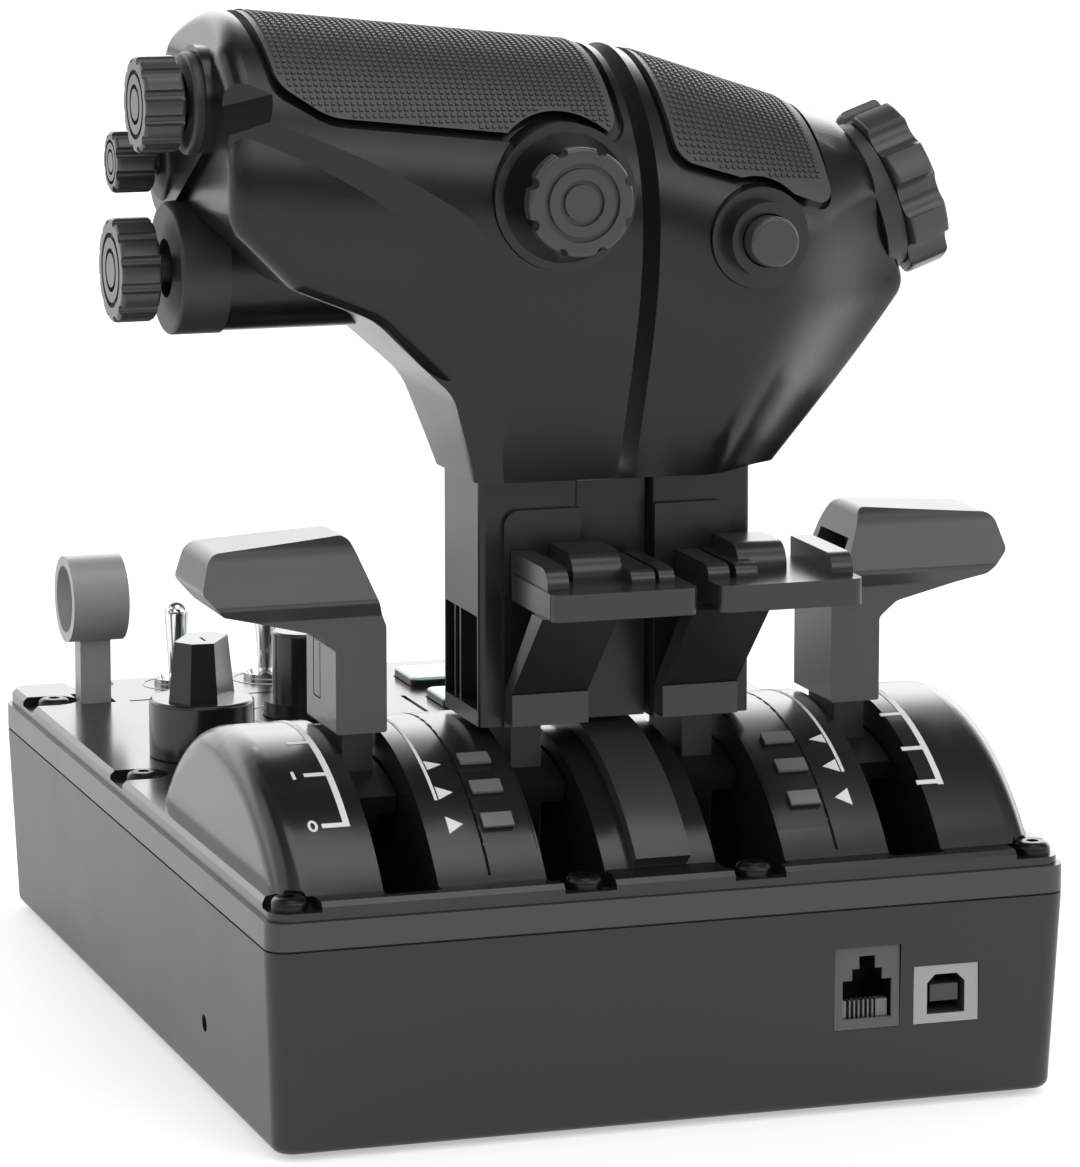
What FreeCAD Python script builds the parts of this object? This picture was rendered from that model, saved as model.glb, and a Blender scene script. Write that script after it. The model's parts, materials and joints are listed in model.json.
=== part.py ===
import FreeCAD, Part
import math
import os

# Desktop throttle quadrant: a low base with four levers on one shaft, a split grip on the two middle levers and a
# small panel behind them. Millimetres. X runs across the base, -Y is the socket face, +Y the user's side and +Z up.
# The origin is the centre of the base on the surface that it stands on.

Vector = FreeCAD.Vector
X_AXIS = Vector(1, 0, 0)
Y_AXIS = Vector(0, 1, 0)
Z_AXIS = Vector(0, 0, 1)

# Base
BASE_WIDTH = 156.0
BASE_DEPTH = 216.0
HOUSING_HEIGHT = 38.3
BAND_HEIGHT = 5.5
PLATE_THICKNESS = 3.4
PLATE_INSET = 0.8
PLATE_CHAMFER = 0.9
HOUSING_DRAFT = 1.55
CORNER_RADIUS = 4.0
BOTTOM_EDGE_RADIUS = 1.8
WALL = 2.6
FLOOR = 2.4
GROOVE_WIDTH = 1.0
GROOVE_DEPTH = 0.6
FOOT_PROUD = 1.2
FOOT_RADIUS = 7.0
FOOT_RECESS = 0.8
FOOT_INSET = 16.0
SEAM_GAP = 0.3
SEAM_CHAMFER = 0.4
FIT_GAP = 0.1
RUN_GAP = 0.4
SHAFT_FIT = 0.05

# Cover screws
SCREW_HEAD_RADIUS = 3.4
SCREW_HEAD_HEIGHT = 2.4
SCREW_RADIUS = 1.5
SCREW_CLEARANCE = 0.2
SCREW_LENGTH = 5.0
SCREW_BOSS_RADIUS = 5.0
SCREW_NOTCH_RADIUS = 5.0
SCREW_SIDE_INSET = 6.4
SCREW_CORNER_INSET = 5.2
SCREW_FRONT_INSET = 5.2
SCREW_MIDDLE_X = 16.6
SCREW_REAR_X = BASE_WIDTH / 2 - 18.0
SCREW_SEAT = 1.6
HEX_RADIUS = 1.3
HEX_DEPTH = 1.2

# Levers and the arched cover over their shaft
AXIS_Y = 51.0 - BASE_DEPTH / 2
SCREW_SIDE_YS = (AXIS_Y + 67.0, BASE_DEPTH / 2 - 20.0)
AXIS_HEIGHT = 13.0
SHAFT_RADIUS = 4.0
SHAFT_HALF_LENGTH = BASE_WIDTH / 2 - 10.0
ARCH_RADIUS = 56.2
ARCH_WALL = 2.4
ARCH_HALF_WIDTH = BASE_WIDTH / 2 - 3.6
ARCH_END_RADIUS = 5.5
ARCH_FLANGE = 2.4
CENTRE_HALF_WIDTH = 10.9
CENTRE_DROP = 2.8
RIB_HALF_WIDTH = 5.4
SLOT_WALL = 2.0
THROTTLE_X = 17.15
THROTTLE_SLOT = 12.5
OUTER_X = 0.3167 * BASE_WIDTH
OUTER_SLOT = 10.5
STRIP_INNER_X = 23.9
STRIP_OUTER_X = 34.0
STRIP_THICKNESS = 1.0
STRIP_HALF_ANGLE = 46.0
BAR_INNER_X = 27.3
BAR_OUTER_X = 33.2
BAR_HEIGHT = 1.1
BAR_HALF_ANGLE = 1.6
BAR_ANGLES = (22.5, 31.0, 39.5)

BRACKET_THICKNESS = 6.0
MIDDLE_BRACKET_X = (THROTTLE_X + OUTER_X) / 2 + 0.7
END_BRACKET_X = OUTER_X + 12.6
BRACKET_XS = (-END_BRACKET_X, -MIDDLE_BRACKET_X, 0.0, MIDDLE_BRACKET_X, END_BRACKET_X)
BRACKET_HALF_BASE = 22.0
BRACKET_HEAD_RADIUS = 8.5
SPACER_RADIUS = 6.0
SENSOR_BOARD_WIDTH = 11.0
SENSOR_BOARD_HEIGHT = 8.0
BOARD_THICKNESS = 1.6

HUB_RADIUS = 9.5
FAN_RADIUS = ARCH_RADIUS - 6.2
FAN_RIM = 4.0
FAN_WEB = 3.0
FAN_HALF_ANGLE = 23.0
STEM_WIDTH = 6.0
STEM_ROOT = 20.0
STEM_FRONT = 13.0
STEM_BACK = 6.0
COLUMN_GAP = 0.6
COLUMN_EDGE_RADIUS = 1.2
FAIRING_GAP = 0.6
FAIRING_DROP = 1.6
FAIRING_FRONT = 12.0
FAIRING_BACK = 6.0

# Throttle columns, lift guides and finger lifts
COLUMN_WIDTH = 19.5
COLUMN_FRONT = 15.0
COLUMN_BACK = 8.0
LEVER_LENGTH = 104.0
WINDOW_DEPTH = 4.0
WINDOW_FRAME = 1.5
WINDOW_BOTTOM = 3.0
WINDOW_HEIGHT = 18.0
WINDOW_HOLE_RADIUS = 2.4
GUIDE_WIDTH = 15.0
GUIDE_THICKNESS = 1.2
GUIDE_TOP = LEVER_LENGTH - 6.0
GUIDE_CORNER = 3.0
LIFT_WIDTH = 28.4
LIFT_FRONT = 43.0
LIFT_PLATE_TOP = LEVER_LENGTH - 17.5
LIFT_PLATE = 5.0
LIFT_OFFSET = 0.8
LIFT_FOOT_BOTTOM = ARCH_RADIUS + 1.7
LIFT_FOOT_HEIGHT = 6.0
LIFT_FOOT_DEPTH = 4.6
LIFT_WEB = 4.0
LIFT_LUMP_HEIGHT = 2.6
LIFT_LUMP_DEPTH = 5.5
LIFT_RIDGE_HEIGHT = 4.0
LIFT_RIDGE_WIDTH = 4.2
LIFT_ROLLER_HEIGHT = 5.2
LIFT_ROLLER_WIDTH = 9.6
LIFT_ROLLER_DEPTH = 14.0
LIFT_LEDGE_HEIGHT = 3.0
LIFT_CORNER = 2.0

# Grips, measured from the shaft in Y and from the top of the lever columns in Z
GRIP_GAP = 3.4
GRIP_HEIGHT = 79.5
GRIP_FRONT = 35.0
GRIP_SOCKET = 24.0
GRIP_EDGE_RADIUS = 4.0
LEFT_SLOPE = 0.11
RIGHT_SLOPE = 0.33
LEFT_REACH = 78.0
RIGHT_REACH = 62.0
RIGHT_END = (58.6, 33.4)
# The lower left edge of the raised front panel, as X and height, and how its slanting wall falls away
PANEL_EDGE = ((-76.5, 86.0), (-71.5, 69.5), (-35.0, 51.5), (-24.0, 3.0))
PANEL_RAISE = 3.6
PANEL_WALL = 7.0
PAD_DEPTH = 1.4
PAD_PROUD = 0.3
PAD_GROOVE = 1.6
PAD_BACK = 10.0
PAD_MARGIN = 3.0
HAT_POD_RADIUS = 10.6
HAT_POD_PROUD = 1.6
HAT_POD_REACH = 14.0
THUMB_POD_RADIUS = 12.0
THUMB_POD_END = 40.0
POD_REACH = 72.0
HAT_SEAT = 7.0
HAT_THICKNESS = 7.5
HAT_PIVOT_DEPTH = 3.2
# Each hat: Y, height, radius of its base, how far the base stands out, radius of its cap, gap under the cap
UPPER_HAT = (-9.0, 71.3, 9.4, 3.7, 8.8, 1.3)
MIDDLE_HAT = (15.0, 58.5, 7.4, 2.4, 5.8, 1.4)
LOWER_HAT = (5.0, 39.5, 12.4, 3.6, 9.7, 2.9)
BEZEL_DEPTH = 8.0
BEZEL_PROUD = 0.8
BEZEL_DISH_DEPTH = 3.0
PIVOT_DEPTH = 4.5
CAP_EDGE_RADIUS = 0.8
CAP_NOTCH_RADIUS = 1.1
CAP_DISH_DEPTH = 0.8
CAP_GROOVES = ((0.72, 0.62), (0.42, 0.33))
STICK_X = -16.8
STICK_HEIGHT = 54.6
STICK_BEZEL_RADIUS = 13.5
STICK_CAP_RADIUS = 10.0
STICK_CAP_THICKNESS = 4.0
STICK_REACH = 9.5
BUTTON_X = 21.0
BUTTON_HEIGHT = 45.9
BUTTON_BEZEL_RADIUS = 9.4
BUTTON_COLLAR_RADIUS = 7.0
BUTTON_COLLAR_HEIGHT = 4.0
BUTTON_RADIUS = 4.7
BUTTON_REACH = 8.0
BUTTON_ROOT = 3.0
STICK_STEM_RADIUS = 2.5
GIMBAL_INNER = 2.9
GIMBAL_OUTER = 5.0
GIMBAL_THICKNESS = 2.0
GIMBAL_CLEARANCE = 0.5
DIAL_RADIUS = 16.5
DIAL_THICKNESS = 8.0
DIAL_EDGE_RADIUS = 1.0
DIAL_TILT = 20.0
DIAL_HEIGHT = 49.0
DIAL_Y = -5.0
DIAL_AXIS = Vector(math.cos(math.radians(DIAL_TILT)), 0, math.sin(math.radians(DIAL_TILT)))
DIAL_HUB_RADIUS = 14.5
DIAL_HUB_THICKNESS = 2.0
DIAL_SHAFT_RADIUS = 3.0
DIAL_SCALLOPS = 8
DIAL_SCALLOP_RADIUS = 4.2

# Outer lever handles
OUTER_COLUMN_WIDTH = 9.9
OUTER_COLUMN_FRONT = 13.0
OUTER_COLUMN_BACK = 7.0
OUTER_STEM_FRONT = 10.0
OUTER_STEM_BACK = 4.0
OUTER_STEM_TOP = ARCH_RADIUS + 15.8
HANDLE_WALL = 2.6
HANDLE_TOP_RADIUS = 7.0

# Pilot-side panel
PANEL_BOARD_DROP = 12.0
PANEL_BOARD_LEFT = 6.0 - BASE_WIDTH / 2
PANEL_BOARD_RIGHT = 30.0
PANEL_BOARD_FRONT = AXIS_Y + 69.0
PANEL_BOARD_BACK = BASE_DEPTH / 2 - 4.0
PANEL_BOARD_MARGIN = 5.0
POST_RADIUS = 3.5
GEAR_X = 15.0 - BASE_WIDTH / 2
GEAR_Y = BASE_DEPTH / 2 - 20.0
GEAR_PIVOT_DROP = 11.2
GEAR_HUB_RADIUS = 2.4
GEAR_RING_RADIUS = 9.2
GEAR_RING_BORE = 7.1
GEAR_RING_WIDTH = 12.0
GEAR_RING_HEIGHT = 21.8
GEAR_STEM_WIDTH = 6.6
GEAR_STEM_DEPTH = 5.0
GEAR_SLOT_REACH = 5.6
GEAR_PIN_RADIUS = 1.5
TOGGLE_XS = (-42.0, -22.0)
TOGGLE_Y = BASE_DEPTH / 2 - 10.0
TOGGLE_RADIUS = 1.9
TOGGLE_TIP_RADIUS = 2.6
TOGGLE_LENGTH = 24.0
TOGGLE_BALL_RADIUS = 2.7
TOGGLE_COLLAR_RADIUS = 4.9
SELECTOR_X = 22.5 - BASE_WIDTH / 2
SELECTOR_Y = AXIS_Y + 82.0
SELECTOR_SKIRT_RADIUS = 10.7
SELECTOR_SKIRT_HEIGHT = 11.5
SELECTOR_HEIGHT = 24.0
SELECTOR_REST_ANGLE = 60.0
ENCODER_X = -25.0
ENCODER_Y = BASE_DEPTH / 2 - 50.0
ENCODER_FLANGE_RADIUS = 8.4
ENCODER_RADIUS = 6.4
ENCODER_HEIGHT = 18.0
KNOB_SHAFT_RADIUS = 3.0
KEY_X = 15.0
KEY_YS = (BASE_DEPTH / 2 - 47.0, BASE_DEPTH / 2 - 23.0)
KEY_WIDTH = 20.0
KEY_DEPTH = 15.0
KEY_CORNER = 2.0
KEY_PROUD = 2.0
KEY_TRAVEL = 1.0

# Sockets, on the board behind the front wall
BOARD_HEIGHT = 15.1
USB_X = BASE_WIDTH / 2 - 24.2
USB_WIDTH = 13.0
USB_HEIGHT = 11.1
USB_DEPTH = 16.0
USB_OPENING = 7.6
NETWORK_X = USB_X - 15.9
NETWORK_WIDTH = 13.0
NETWORK_HEIGHT = 15.8
NETWORK_DEPTH = 15.0
SOCKET_RECESS = 0.9

# Levels and places worked out from the sizes above
HOUSING_BOTTOM = FOOT_PROUD
FLOOR_TOP = HOUSING_BOTTOM + FLOOR
SPLIT_Z = HOUSING_BOTTOM + HOUSING_HEIGHT
DECK_Z = SPLIT_Z + BAND_HEIGHT
PLATE_TOP = DECK_Z + PLATE_THICKNESS
AXIS_Z = HOUSING_BOTTOM + AXIS_HEIGHT
COLUMN_BOTTOM = AXIS_Z + ARCH_RADIUS + COLUMN_GAP
GRIP_BOTTOM = AXIS_Z + LEVER_LENGTH
BOARD_TOP = HOUSING_BOTTOM + BOARD_HEIGHT
PANEL_BOARD_TOP = DECK_Z - PANEL_BOARD_DROP
SLOT_WALL_BOTTOM = BOARD_TOP + NETWORK_HEIGHT + 1.0
ARCH_OPENING_REACH = math.sqrt(ARCH_RADIUS ** 2 - (PLATE_TOP - AXIS_Z) ** 2) - 1.1
ARCH_FLANGE_REACH = ARCH_OPENING_REACH + 4.5
SCREW_SEAT_Z = DECK_Z + SCREW_SEAT


# Shape helpers

def box(xs, ys, zs):
    """A box between two values on each axis."""
    low = Vector(min(xs), min(ys), min(zs))
    return Part.makeBox(abs(xs[1] - xs[0]), abs(ys[1] - ys[0]), abs(zs[1] - zs[0]), low)


def rod(start, direction, radius, length):
    """A cylinder from a point along a direction."""
    return Part.makeCylinder(radius, length, start, direction)


def rod_x(low, high, y, z, radius):
    """A cylinder along X."""
    return rod(Vector(low, y, z), X_AXIS, radius, high - low)


def post(x, y, low, high, radius):
    """A cylinder along Z."""
    return rod(Vector(x, y, low), Z_AXIS, radius, high - low)


def tube_x(low, high, y, z, outer, inner):
    """A tube along X."""
    return rod_x(low, high, y, z, outer).cut(rod_x(low - 1, high + 1, y, z, inner))


def prism(points, direction):
    """A closed polygon extruded along a direction."""
    return Part.Face(Part.makePolygon([*points, points[0]])).extrude(direction)


def rounded_profile(corners, radius, place):
    """A closed outline with its corners rounded. place turns a flat point into one in space."""
    arcs = []
    count = len(corners)
    for index, corner in enumerate(corners):
        here = Vector(corner[0], corner[1], 0)
        arms = []
        for other in (corners[index - 1], corners[(index + 1) % count]):
            arms.append((Vector(other[0], other[1], 0) - here).normalize())
        half = (arms[0].getAngle(arms[1])) / 2
        bend = corner[2] if len(corner) > 2 else radius
        reach = bend / math.tan(half)
        middle = (arms[0] + arms[1]).normalize()
        centre = here + middle * (bend / math.sin(half))
        points = [here + arms[0] * reach, centre - middle * bend, here + arms[1] * reach]
        arcs.append([place(point.x, point.y) for point in points])
    edges = []
    for index, points in enumerate(arcs):
        edges.append(Part.Arc(*points).toShape())
        edges.append(Part.makeLine(points[2], arcs[(index + 1) % count][0]))
    return Part.Face(Part.Wire(edges))


def rounded_outline(width, depth, radius, z, centre=(0.0, 0.0)):
    """A rectangle with round corners, as a wire at one level."""
    edges = []
    half_x = width / 2 - radius
    half_y = depth / 2 - radius
    corners = ((half_x, half_y, 0), (-half_x, half_y, 90), (-half_x, -half_y, 180), (half_x, -half_y, 270))
    arcs = []
    for x, y, start in corners:
        points = []
        for turn in (0, 45, 90):
            angle = math.radians(start + turn)
            points.append(Vector(centre[0] + x + radius * math.cos(angle), centre[1] + y + radius * math.sin(angle), z))
        arcs.append(points)
    for index, points in enumerate(arcs):
        following = arcs[(index + 1) % len(arcs)]
        edges.append(Part.Arc(*points).toShape())
        edges.append(Part.makeLine(points[2], following[0]))
    return Part.Wire(edges)


def rounded_block(width, depth, radius, low, high, centre=(0.0, 0.0)):
    """A block with round upright corners."""
    face = Part.Face(rounded_outline(width, depth, radius, low, centre))
    return face.extrude(Vector(0, 0, high - low))


def edges_at_level(shape, z):
    """The edges that lie wholly at one level."""
    return [e for e in shape.Edges if abs(e.BoundBox.ZMin - z) < 1e-4 and abs(e.BoundBox.ZMax - z) < 1e-4]


def upright_edges(shape):
    """The straight edges along Z."""
    return [e for e in shape.Edges if e.BoundBox.XLength < 1e-4 and e.BoundBox.YLength < 1e-4]


def union(shapes):
    """One shape from several, with the seams between coplanar faces removed."""
    first, *rest = shapes
    return first.fuse(rest).removeSplitter() if rest else first


def mirrored(shape):
    """The same shape on the other side of the centre plane."""
    return shape.mirror(Vector(0, 0, 0), X_AXIS)


def wedge(low_angle, high_angle, low_x, high_x, reach=200.0):
    """A sector about the shaft. Angles are from straight up, positive towards the sockets."""
    points = [Vector(low_x, AXIS_Y, AXIS_Z)]
    for angle in (low_angle, (low_angle + high_angle) / 2, high_angle):
        turn = math.radians(angle)
        points.append(Vector(low_x, AXIS_Y - reach * math.sin(turn), AXIS_Z + reach * math.cos(turn)))
    return prism(points, Vector(high_x - low_x, 0, 0))


def arc_strip(low_x, high_x, inner, outer, low_angle, high_angle):
    """A curved strip about the shaft."""
    ring = tube_x(low_x, high_x, AXIS_Y, AXIS_Z, outer, inner)
    return ring.common(wedge(low_angle, high_angle, low_x, high_x))


# Base

def screw_places():
    """Where the cover screws stand, with the way out to the nearest edge of the plate."""
    half_width = BASE_WIDTH / 2
    half_depth = BASE_DEPTH / 2
    places = []
    for side in (-1, 1):
        for y in SCREW_SIDE_YS:
            places.append((side * (half_width - SCREW_SIDE_INSET), y, (side, 0)))
        places.append((side * (half_width - SCREW_CORNER_INSET), SCREW_CORNER_INSET - half_depth, (0, -1)))
        places.append((side * SCREW_MIDDLE_X, SCREW_FRONT_INSET - half_depth, (0, -1)))
        places.append((side * SCREW_REAR_X, half_depth - SCREW_FRONT_INSET, (0, 1)))
    places.append((0, half_depth - SCREW_FRONT_INSET, (0, 1)))
    return places


def make_lower_housing():
    low_width = BASE_WIDTH - 2 * HOUSING_DRAFT
    low_depth = BASE_DEPTH - 2 * HOUSING_DRAFT
    outer = Part.makeLoft([
        rounded_outline(low_width, low_depth, CORNER_RADIUS, HOUSING_BOTTOM),
        rounded_outline(BASE_WIDTH, BASE_DEPTH, CORNER_RADIUS, SPLIT_Z),
    ], True, True)
    outer = outer.makeFillet(BOTTOM_EDGE_RADIUS, edges_at_level(outer, HOUSING_BOTTOM))
    inner_radius = CORNER_RADIUS - WALL / 2
    inner = Part.makeLoft([
        rounded_outline(low_width - 2 * WALL, low_depth - 2 * WALL, inner_radius, FLOOR_TOP),
        rounded_outline(BASE_WIDTH - 2 * WALL, BASE_DEPTH - 2 * WALL, inner_radius, SPLIT_Z),
    ], True, True)
    shell = outer.cut(inner)
    posts = [post(x, y, FLOOR_TOP - 1, BOARD_TOP - BOARD_THICKNESS, POST_RADIUS) for x, y in main_board_posts()]
    posts += [post(x, y, FLOOR_TOP - 1, PANEL_BOARD_TOP - BOARD_THICKNESS, POST_RADIUS) for x, y in panel_board_posts()]
    shell = union([shell, *posts])
    shell = shell.cut([post(x, y, 0, HOUSING_BOTTOM + FOOT_RECESS, FOOT_RADIUS) for x, y in foot_places()])
    openings = [socket_window(USB_X, USB_WIDTH, USB_HEIGHT), socket_window(NETWORK_X, NETWORK_WIDTH, NETWORK_HEIGHT)]
    openings.append(rod_x(-BASE_WIDTH, -SHAFT_HALF_LENGTH, AXIS_Y, AXIS_Z, HEX_RADIUS + RUN_GAP))
    return shell.cut(openings)


def socket_window(x, width, height):
    """The way through the front wall for a socket that stands on the main board."""
    half = width / 2 + FIT_GAP
    front = -BASE_DEPTH / 2
    return box((x - half, x + half), (front - 1, front + 2 * WALL + HOUSING_DRAFT),
               (BOARD_TOP - FIT_GAP, BOARD_TOP + height + FIT_GAP))


def foot_places():
    x = BASE_WIDTH / 2 - FOOT_INSET
    y = BASE_DEPTH / 2 - FOOT_INSET
    return [(sx * x, sy * y) for sx in (-1, 1) for sy in (-1, 1)]


def make_rubber_feet():
    return [post(x, y, 0, HOUSING_BOTTOM + FOOT_RECESS, FOOT_RADIUS) for x, y in foot_places()]


def make_upper_frame():
    band = rounded_block(BASE_WIDTH, BASE_DEPTH, CORNER_RADIUS, SPLIT_Z, DECK_Z)
    band = band.makeChamfer(SEAM_CHAMFER, edges_at_level(band, SPLIT_Z))
    outline = band.copy()
    band = band.cut(rounded_block(BASE_WIDTH - 2 * WALL, BASE_DEPTH - 2 * WALL, CORNER_RADIUS - WALL / 2,
                                  SPLIT_Z - 1, DECK_Z + 1))
    bosses = []
    holes = []
    for x, y, out in screw_places():
        bosses.append(post(x, y, SPLIT_Z, DECK_Z, SCREW_BOSS_RADIUS))
        bosses.append(edge_notch(x, y, out, SCREW_BOSS_RADIUS, SPLIT_Z, DECK_Z))
        holes.append(post(x, y, DECK_Z - SCREW_LENGTH, DECK_Z + 1, SCREW_RADIUS))
    bosses = union(bosses).common(outline)
    return union([band, bosses]).cut(holes)


def make_cover_screws():
    screws = []
    for x, y, _ in screw_places():
        top = SCREW_SEAT_Z + SCREW_HEAD_HEIGHT
        head = post(x, y, SCREW_SEAT_Z, top, SCREW_HEAD_RADIUS)
        head = head.makeFillet(SCREW_HEAD_HEIGHT * 0.6, edges_at_level(head, top))
        shank = post(x, y, DECK_Z - SCREW_LENGTH, SCREW_SEAT_Z, SCREW_RADIUS)
        hexagon = [Vector(x + HEX_RADIUS * math.cos(math.radians(60 * k)), y + HEX_RADIUS * math.sin(math.radians(60 * k)),
                          top - HEX_DEPTH) for k in range(6)]
        screws.append(union([head, shank]).cut(prism(hexagon, Vector(0, 0, 2 * HEX_DEPTH))))
    return screws


def make_top_cover():
    """The panel plate and the arch over the levers, in one moulding."""
    plate = rounded_block(BASE_WIDTH - 2 * PLATE_INSET, BASE_DEPTH - 2 * PLATE_INSET, CORNER_RADIUS, DECK_Z, PLATE_TOP)
    plate = plate.makeChamfer(PLATE_CHAMFER, edges_at_level(plate, PLATE_TOP))
    cuts = [rod_x(-ARCH_HALF_WIDTH + ARCH_WALL, ARCH_HALF_WIDTH - ARCH_WALL, AXIS_Y, AXIS_Z, ARCH_RADIUS - ARCH_WALL)]
    for x, y, out in screw_places():
        cuts.append(post(x, y, DECK_Z - 1, PLATE_TOP + 1, SCREW_RADIUS + SCREW_CLEARANCE))
        cuts.append(post(x, y, SCREW_SEAT_Z, PLATE_TOP + 1, SCREW_NOTCH_RADIUS))
        cuts.append(edge_notch(x, y, out, SCREW_NOTCH_RADIUS, SCREW_SEAT_Z, PLATE_TOP + 1))
    for x in TOGGLE_XS:
        cuts.append(post(x, TOGGLE_Y, DECK_Z - 1, PLATE_TOP + 1, TOGGLE_COLLAR_RADIUS + FIT_GAP))
    cuts.append(post(SELECTOR_X, SELECTOR_Y, DECK_Z - 1, PLATE_TOP + 1, KNOB_SHAFT_RADIUS + RUN_GAP))
    cuts.append(post(ENCODER_X, ENCODER_Y, DECK_Z - 1, PLATE_TOP + 1, KNOB_SHAFT_RADIUS + RUN_GAP))
    gear_half = GEAR_STEM_WIDTH / 2 + RUN_GAP
    cuts.append(box((GEAR_X - gear_half, GEAR_X + gear_half), (GEAR_Y - GEAR_SLOT_REACH, GEAR_Y + GEAR_SLOT_REACH),
                    (DECK_Z - 1, PLATE_TOP + 1)))
    for y in KEY_YS:
        cuts.append(rounded_block(KEY_WIDTH + 2 * SEAM_GAP, KEY_DEPTH + 2 * SEAM_GAP, KEY_CORNER + SEAM_GAP, DECK_Z - 1,
                                  PLATE_TOP + 1, (KEY_X, y)))
    plate = plate.cut([*cuts, *panel_grooves()])
    return plate.fuse(make_arch()).cut(arch_openings()).removeSplitter()


def edge_notch(x, y, out, half, low, high):
    """The straight part of a notch, from a screw to beyond the edge it is nearest to."""
    reach = 3 * half
    xs = (x, x + out[0] * reach) if out[0] else (x - half, x + half)
    ys = (y, y + out[1] * reach) if out[1] else (y - half, y + half)
    return box(xs, ys, (low, high))


def panel_grooves():
    """Two shallow lines that divide the panel into fields."""
    low = PLATE_TOP - GROOVE_DEPTH
    between = (ENCODER_Y + TOGGLE_Y) / 2 + 4.0
    across = box((GEAR_X + GEAR_STEM_WIDTH, TOGGLE_XS[1]), (between, between + GROOVE_WIDTH), (low, PLATE_TOP + 1))
    along = box((0, GROOVE_WIDTH), (ENCODER_Y - 18.0, ENCODER_Y + 12.0), (low, PLATE_TOP + 1))
    return [across, along]


# Arched cover

def slot_ranges():
    """Where the levers come through the arch, on the +X side."""
    return [(THROTTLE_X - THROTTLE_SLOT / 2, THROTTLE_X + THROTTLE_SLOT / 2),
            (OUTER_X - OUTER_SLOT / 2, OUTER_X + OUTER_SLOT / 2)]


def make_arch():
    """The arch with its slot walls and the flange under the plate, before the slots are opened."""
    arch = rod_x(-ARCH_HALF_WIDTH, ARCH_HALF_WIDTH, AXIS_Y, AXIS_Z, ARCH_RADIUS)
    arch = arch.makeFillet(ARCH_END_RADIUS, [e for e in arch.Edges if e.BoundBox.XLength < 1e-4])
    half_inside = ARCH_HALF_WIDTH - ARCH_WALL
    arch = arch.cut(rod_x(-half_inside, half_inside, AXIS_Y, AXIS_Z, ARCH_RADIUS - ARCH_WALL))
    centre_outer = ARCH_RADIUS - CENTRE_DROP
    arch = arch.cut(tube_x(-CENTRE_HALF_WIDTH, CENTRE_HALF_WIDTH, AXIS_Y, AXIS_Z, ARCH_RADIUS + 1, centre_outer))
    walls = [tube_x(-CENTRE_HALF_WIDTH, CENTRE_HALF_WIDTH, AXIS_Y, AXIS_Z, centre_outer, centre_outer - ARCH_WALL)]
    for side in (-1, 1):
        for edge, inward, radius in slot_walls():
            xs = sorted((side * edge, side * (edge + inward)))
            walls.append(rod_x(xs[0], xs[1], AXIS_Y, AXIS_Z, radius))
    arch = arch.fuse(walls)
    reach = 2 * ARCH_RADIUS
    arch = arch.common(box((-reach, reach), (AXIS_Y - reach, AXIS_Y + reach), (SLOT_WALL_BOTTOM, AXIS_Z + reach)))
    flange_low = DECK_Z - ARCH_FLANGE
    outside = []
    for way in (-1, 1):
        for start, top in ((ARCH_OPENING_REACH, flange_low), (ARCH_FLANGE_REACH, DECK_Z)):
            outside.append(box((-reach, reach), (AXIS_Y + way * start, AXIS_Y + way * reach), (0, top)))
    flange = box((-ARCH_HALF_WIDTH, ARCH_HALF_WIDTH), (AXIS_Y - ARCH_FLANGE_REACH, AXIS_Y + ARCH_FLANGE_REACH),
                 (flange_low, DECK_Z))
    flange = flange.cut(box((-half_inside, half_inside), (AXIS_Y - ARCH_OPENING_REACH, AXIS_Y + ARCH_OPENING_REACH),
                            (flange_low - 1, DECK_Z + 1)))
    return arch.cut(outside).fuse(flange)


def slot_walls():
    """The light walls beside each slot: its edge, the way the wall lies from it and its radius."""
    centre_outer = ARCH_RADIUS - CENTRE_DROP
    drum_inner = ARCH_RADIUS - ARCH_WALL / 2
    (inner_low, inner_high), (outer_low, outer_high) = slot_ranges()
    return [(inner_low, -SLOT_WALL, centre_outer), (inner_high, SLOT_WALL, drum_inner),
            (outer_low, -SLOT_WALL, drum_inner), (outer_high, SLOT_WALL, drum_inner)]


def arch_openings():
    """The lever slots, the seats of the detent strips and the room for the cover screws and their bosses."""
    reach = 2 * ARCH_RADIUS
    cuts = []
    for low, high in slot_ranges():
        for side in (-1, 1):
            xs = sorted((side * low, side * high))
            cuts.append(box(xs, (AXIS_Y - ARCH_FLANGE_REACH + 1, AXIS_Y + ARCH_FLANGE_REACH - 1), (DECK_Z, reach)))
            cuts.append(box(xs, (AXIS_Y - ARCH_OPENING_REACH, AXIS_Y + ARCH_OPENING_REACH), (0, reach)))
    seat = arc_strip(STRIP_INNER_X - FIT_GAP, STRIP_OUTER_X + FIT_GAP, ARCH_RADIUS - STRIP_THICKNESS,
                     ARCH_RADIUS + 1, -STRIP_HALF_ANGLE, STRIP_HALF_ANGLE)
    cuts += [seat, mirrored(seat)]
    for x, y, out in screw_places():
        cuts.append(post(x, y, 0, DECK_Z, SCREW_BOSS_RADIUS + SEAM_GAP))
        cuts.append(edge_notch(x, y, out, SCREW_BOSS_RADIUS + SEAM_GAP, 0, DECK_Z))
        cuts.append(post(x, y, DECK_Z - 1, PLATE_TOP, SCREW_RADIUS + SCREW_CLEARANCE))
        cuts.append(post(x, y, SCREW_SEAT_Z, PLATE_TOP, SCREW_NOTCH_RADIUS))
        cuts.append(post(x, y, PLATE_TOP, SCREW_SEAT_Z + SCREW_HEAD_HEIGHT + SEAM_GAP, SCREW_HEAD_RADIUS + SEAM_GAP))
    return cuts


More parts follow.
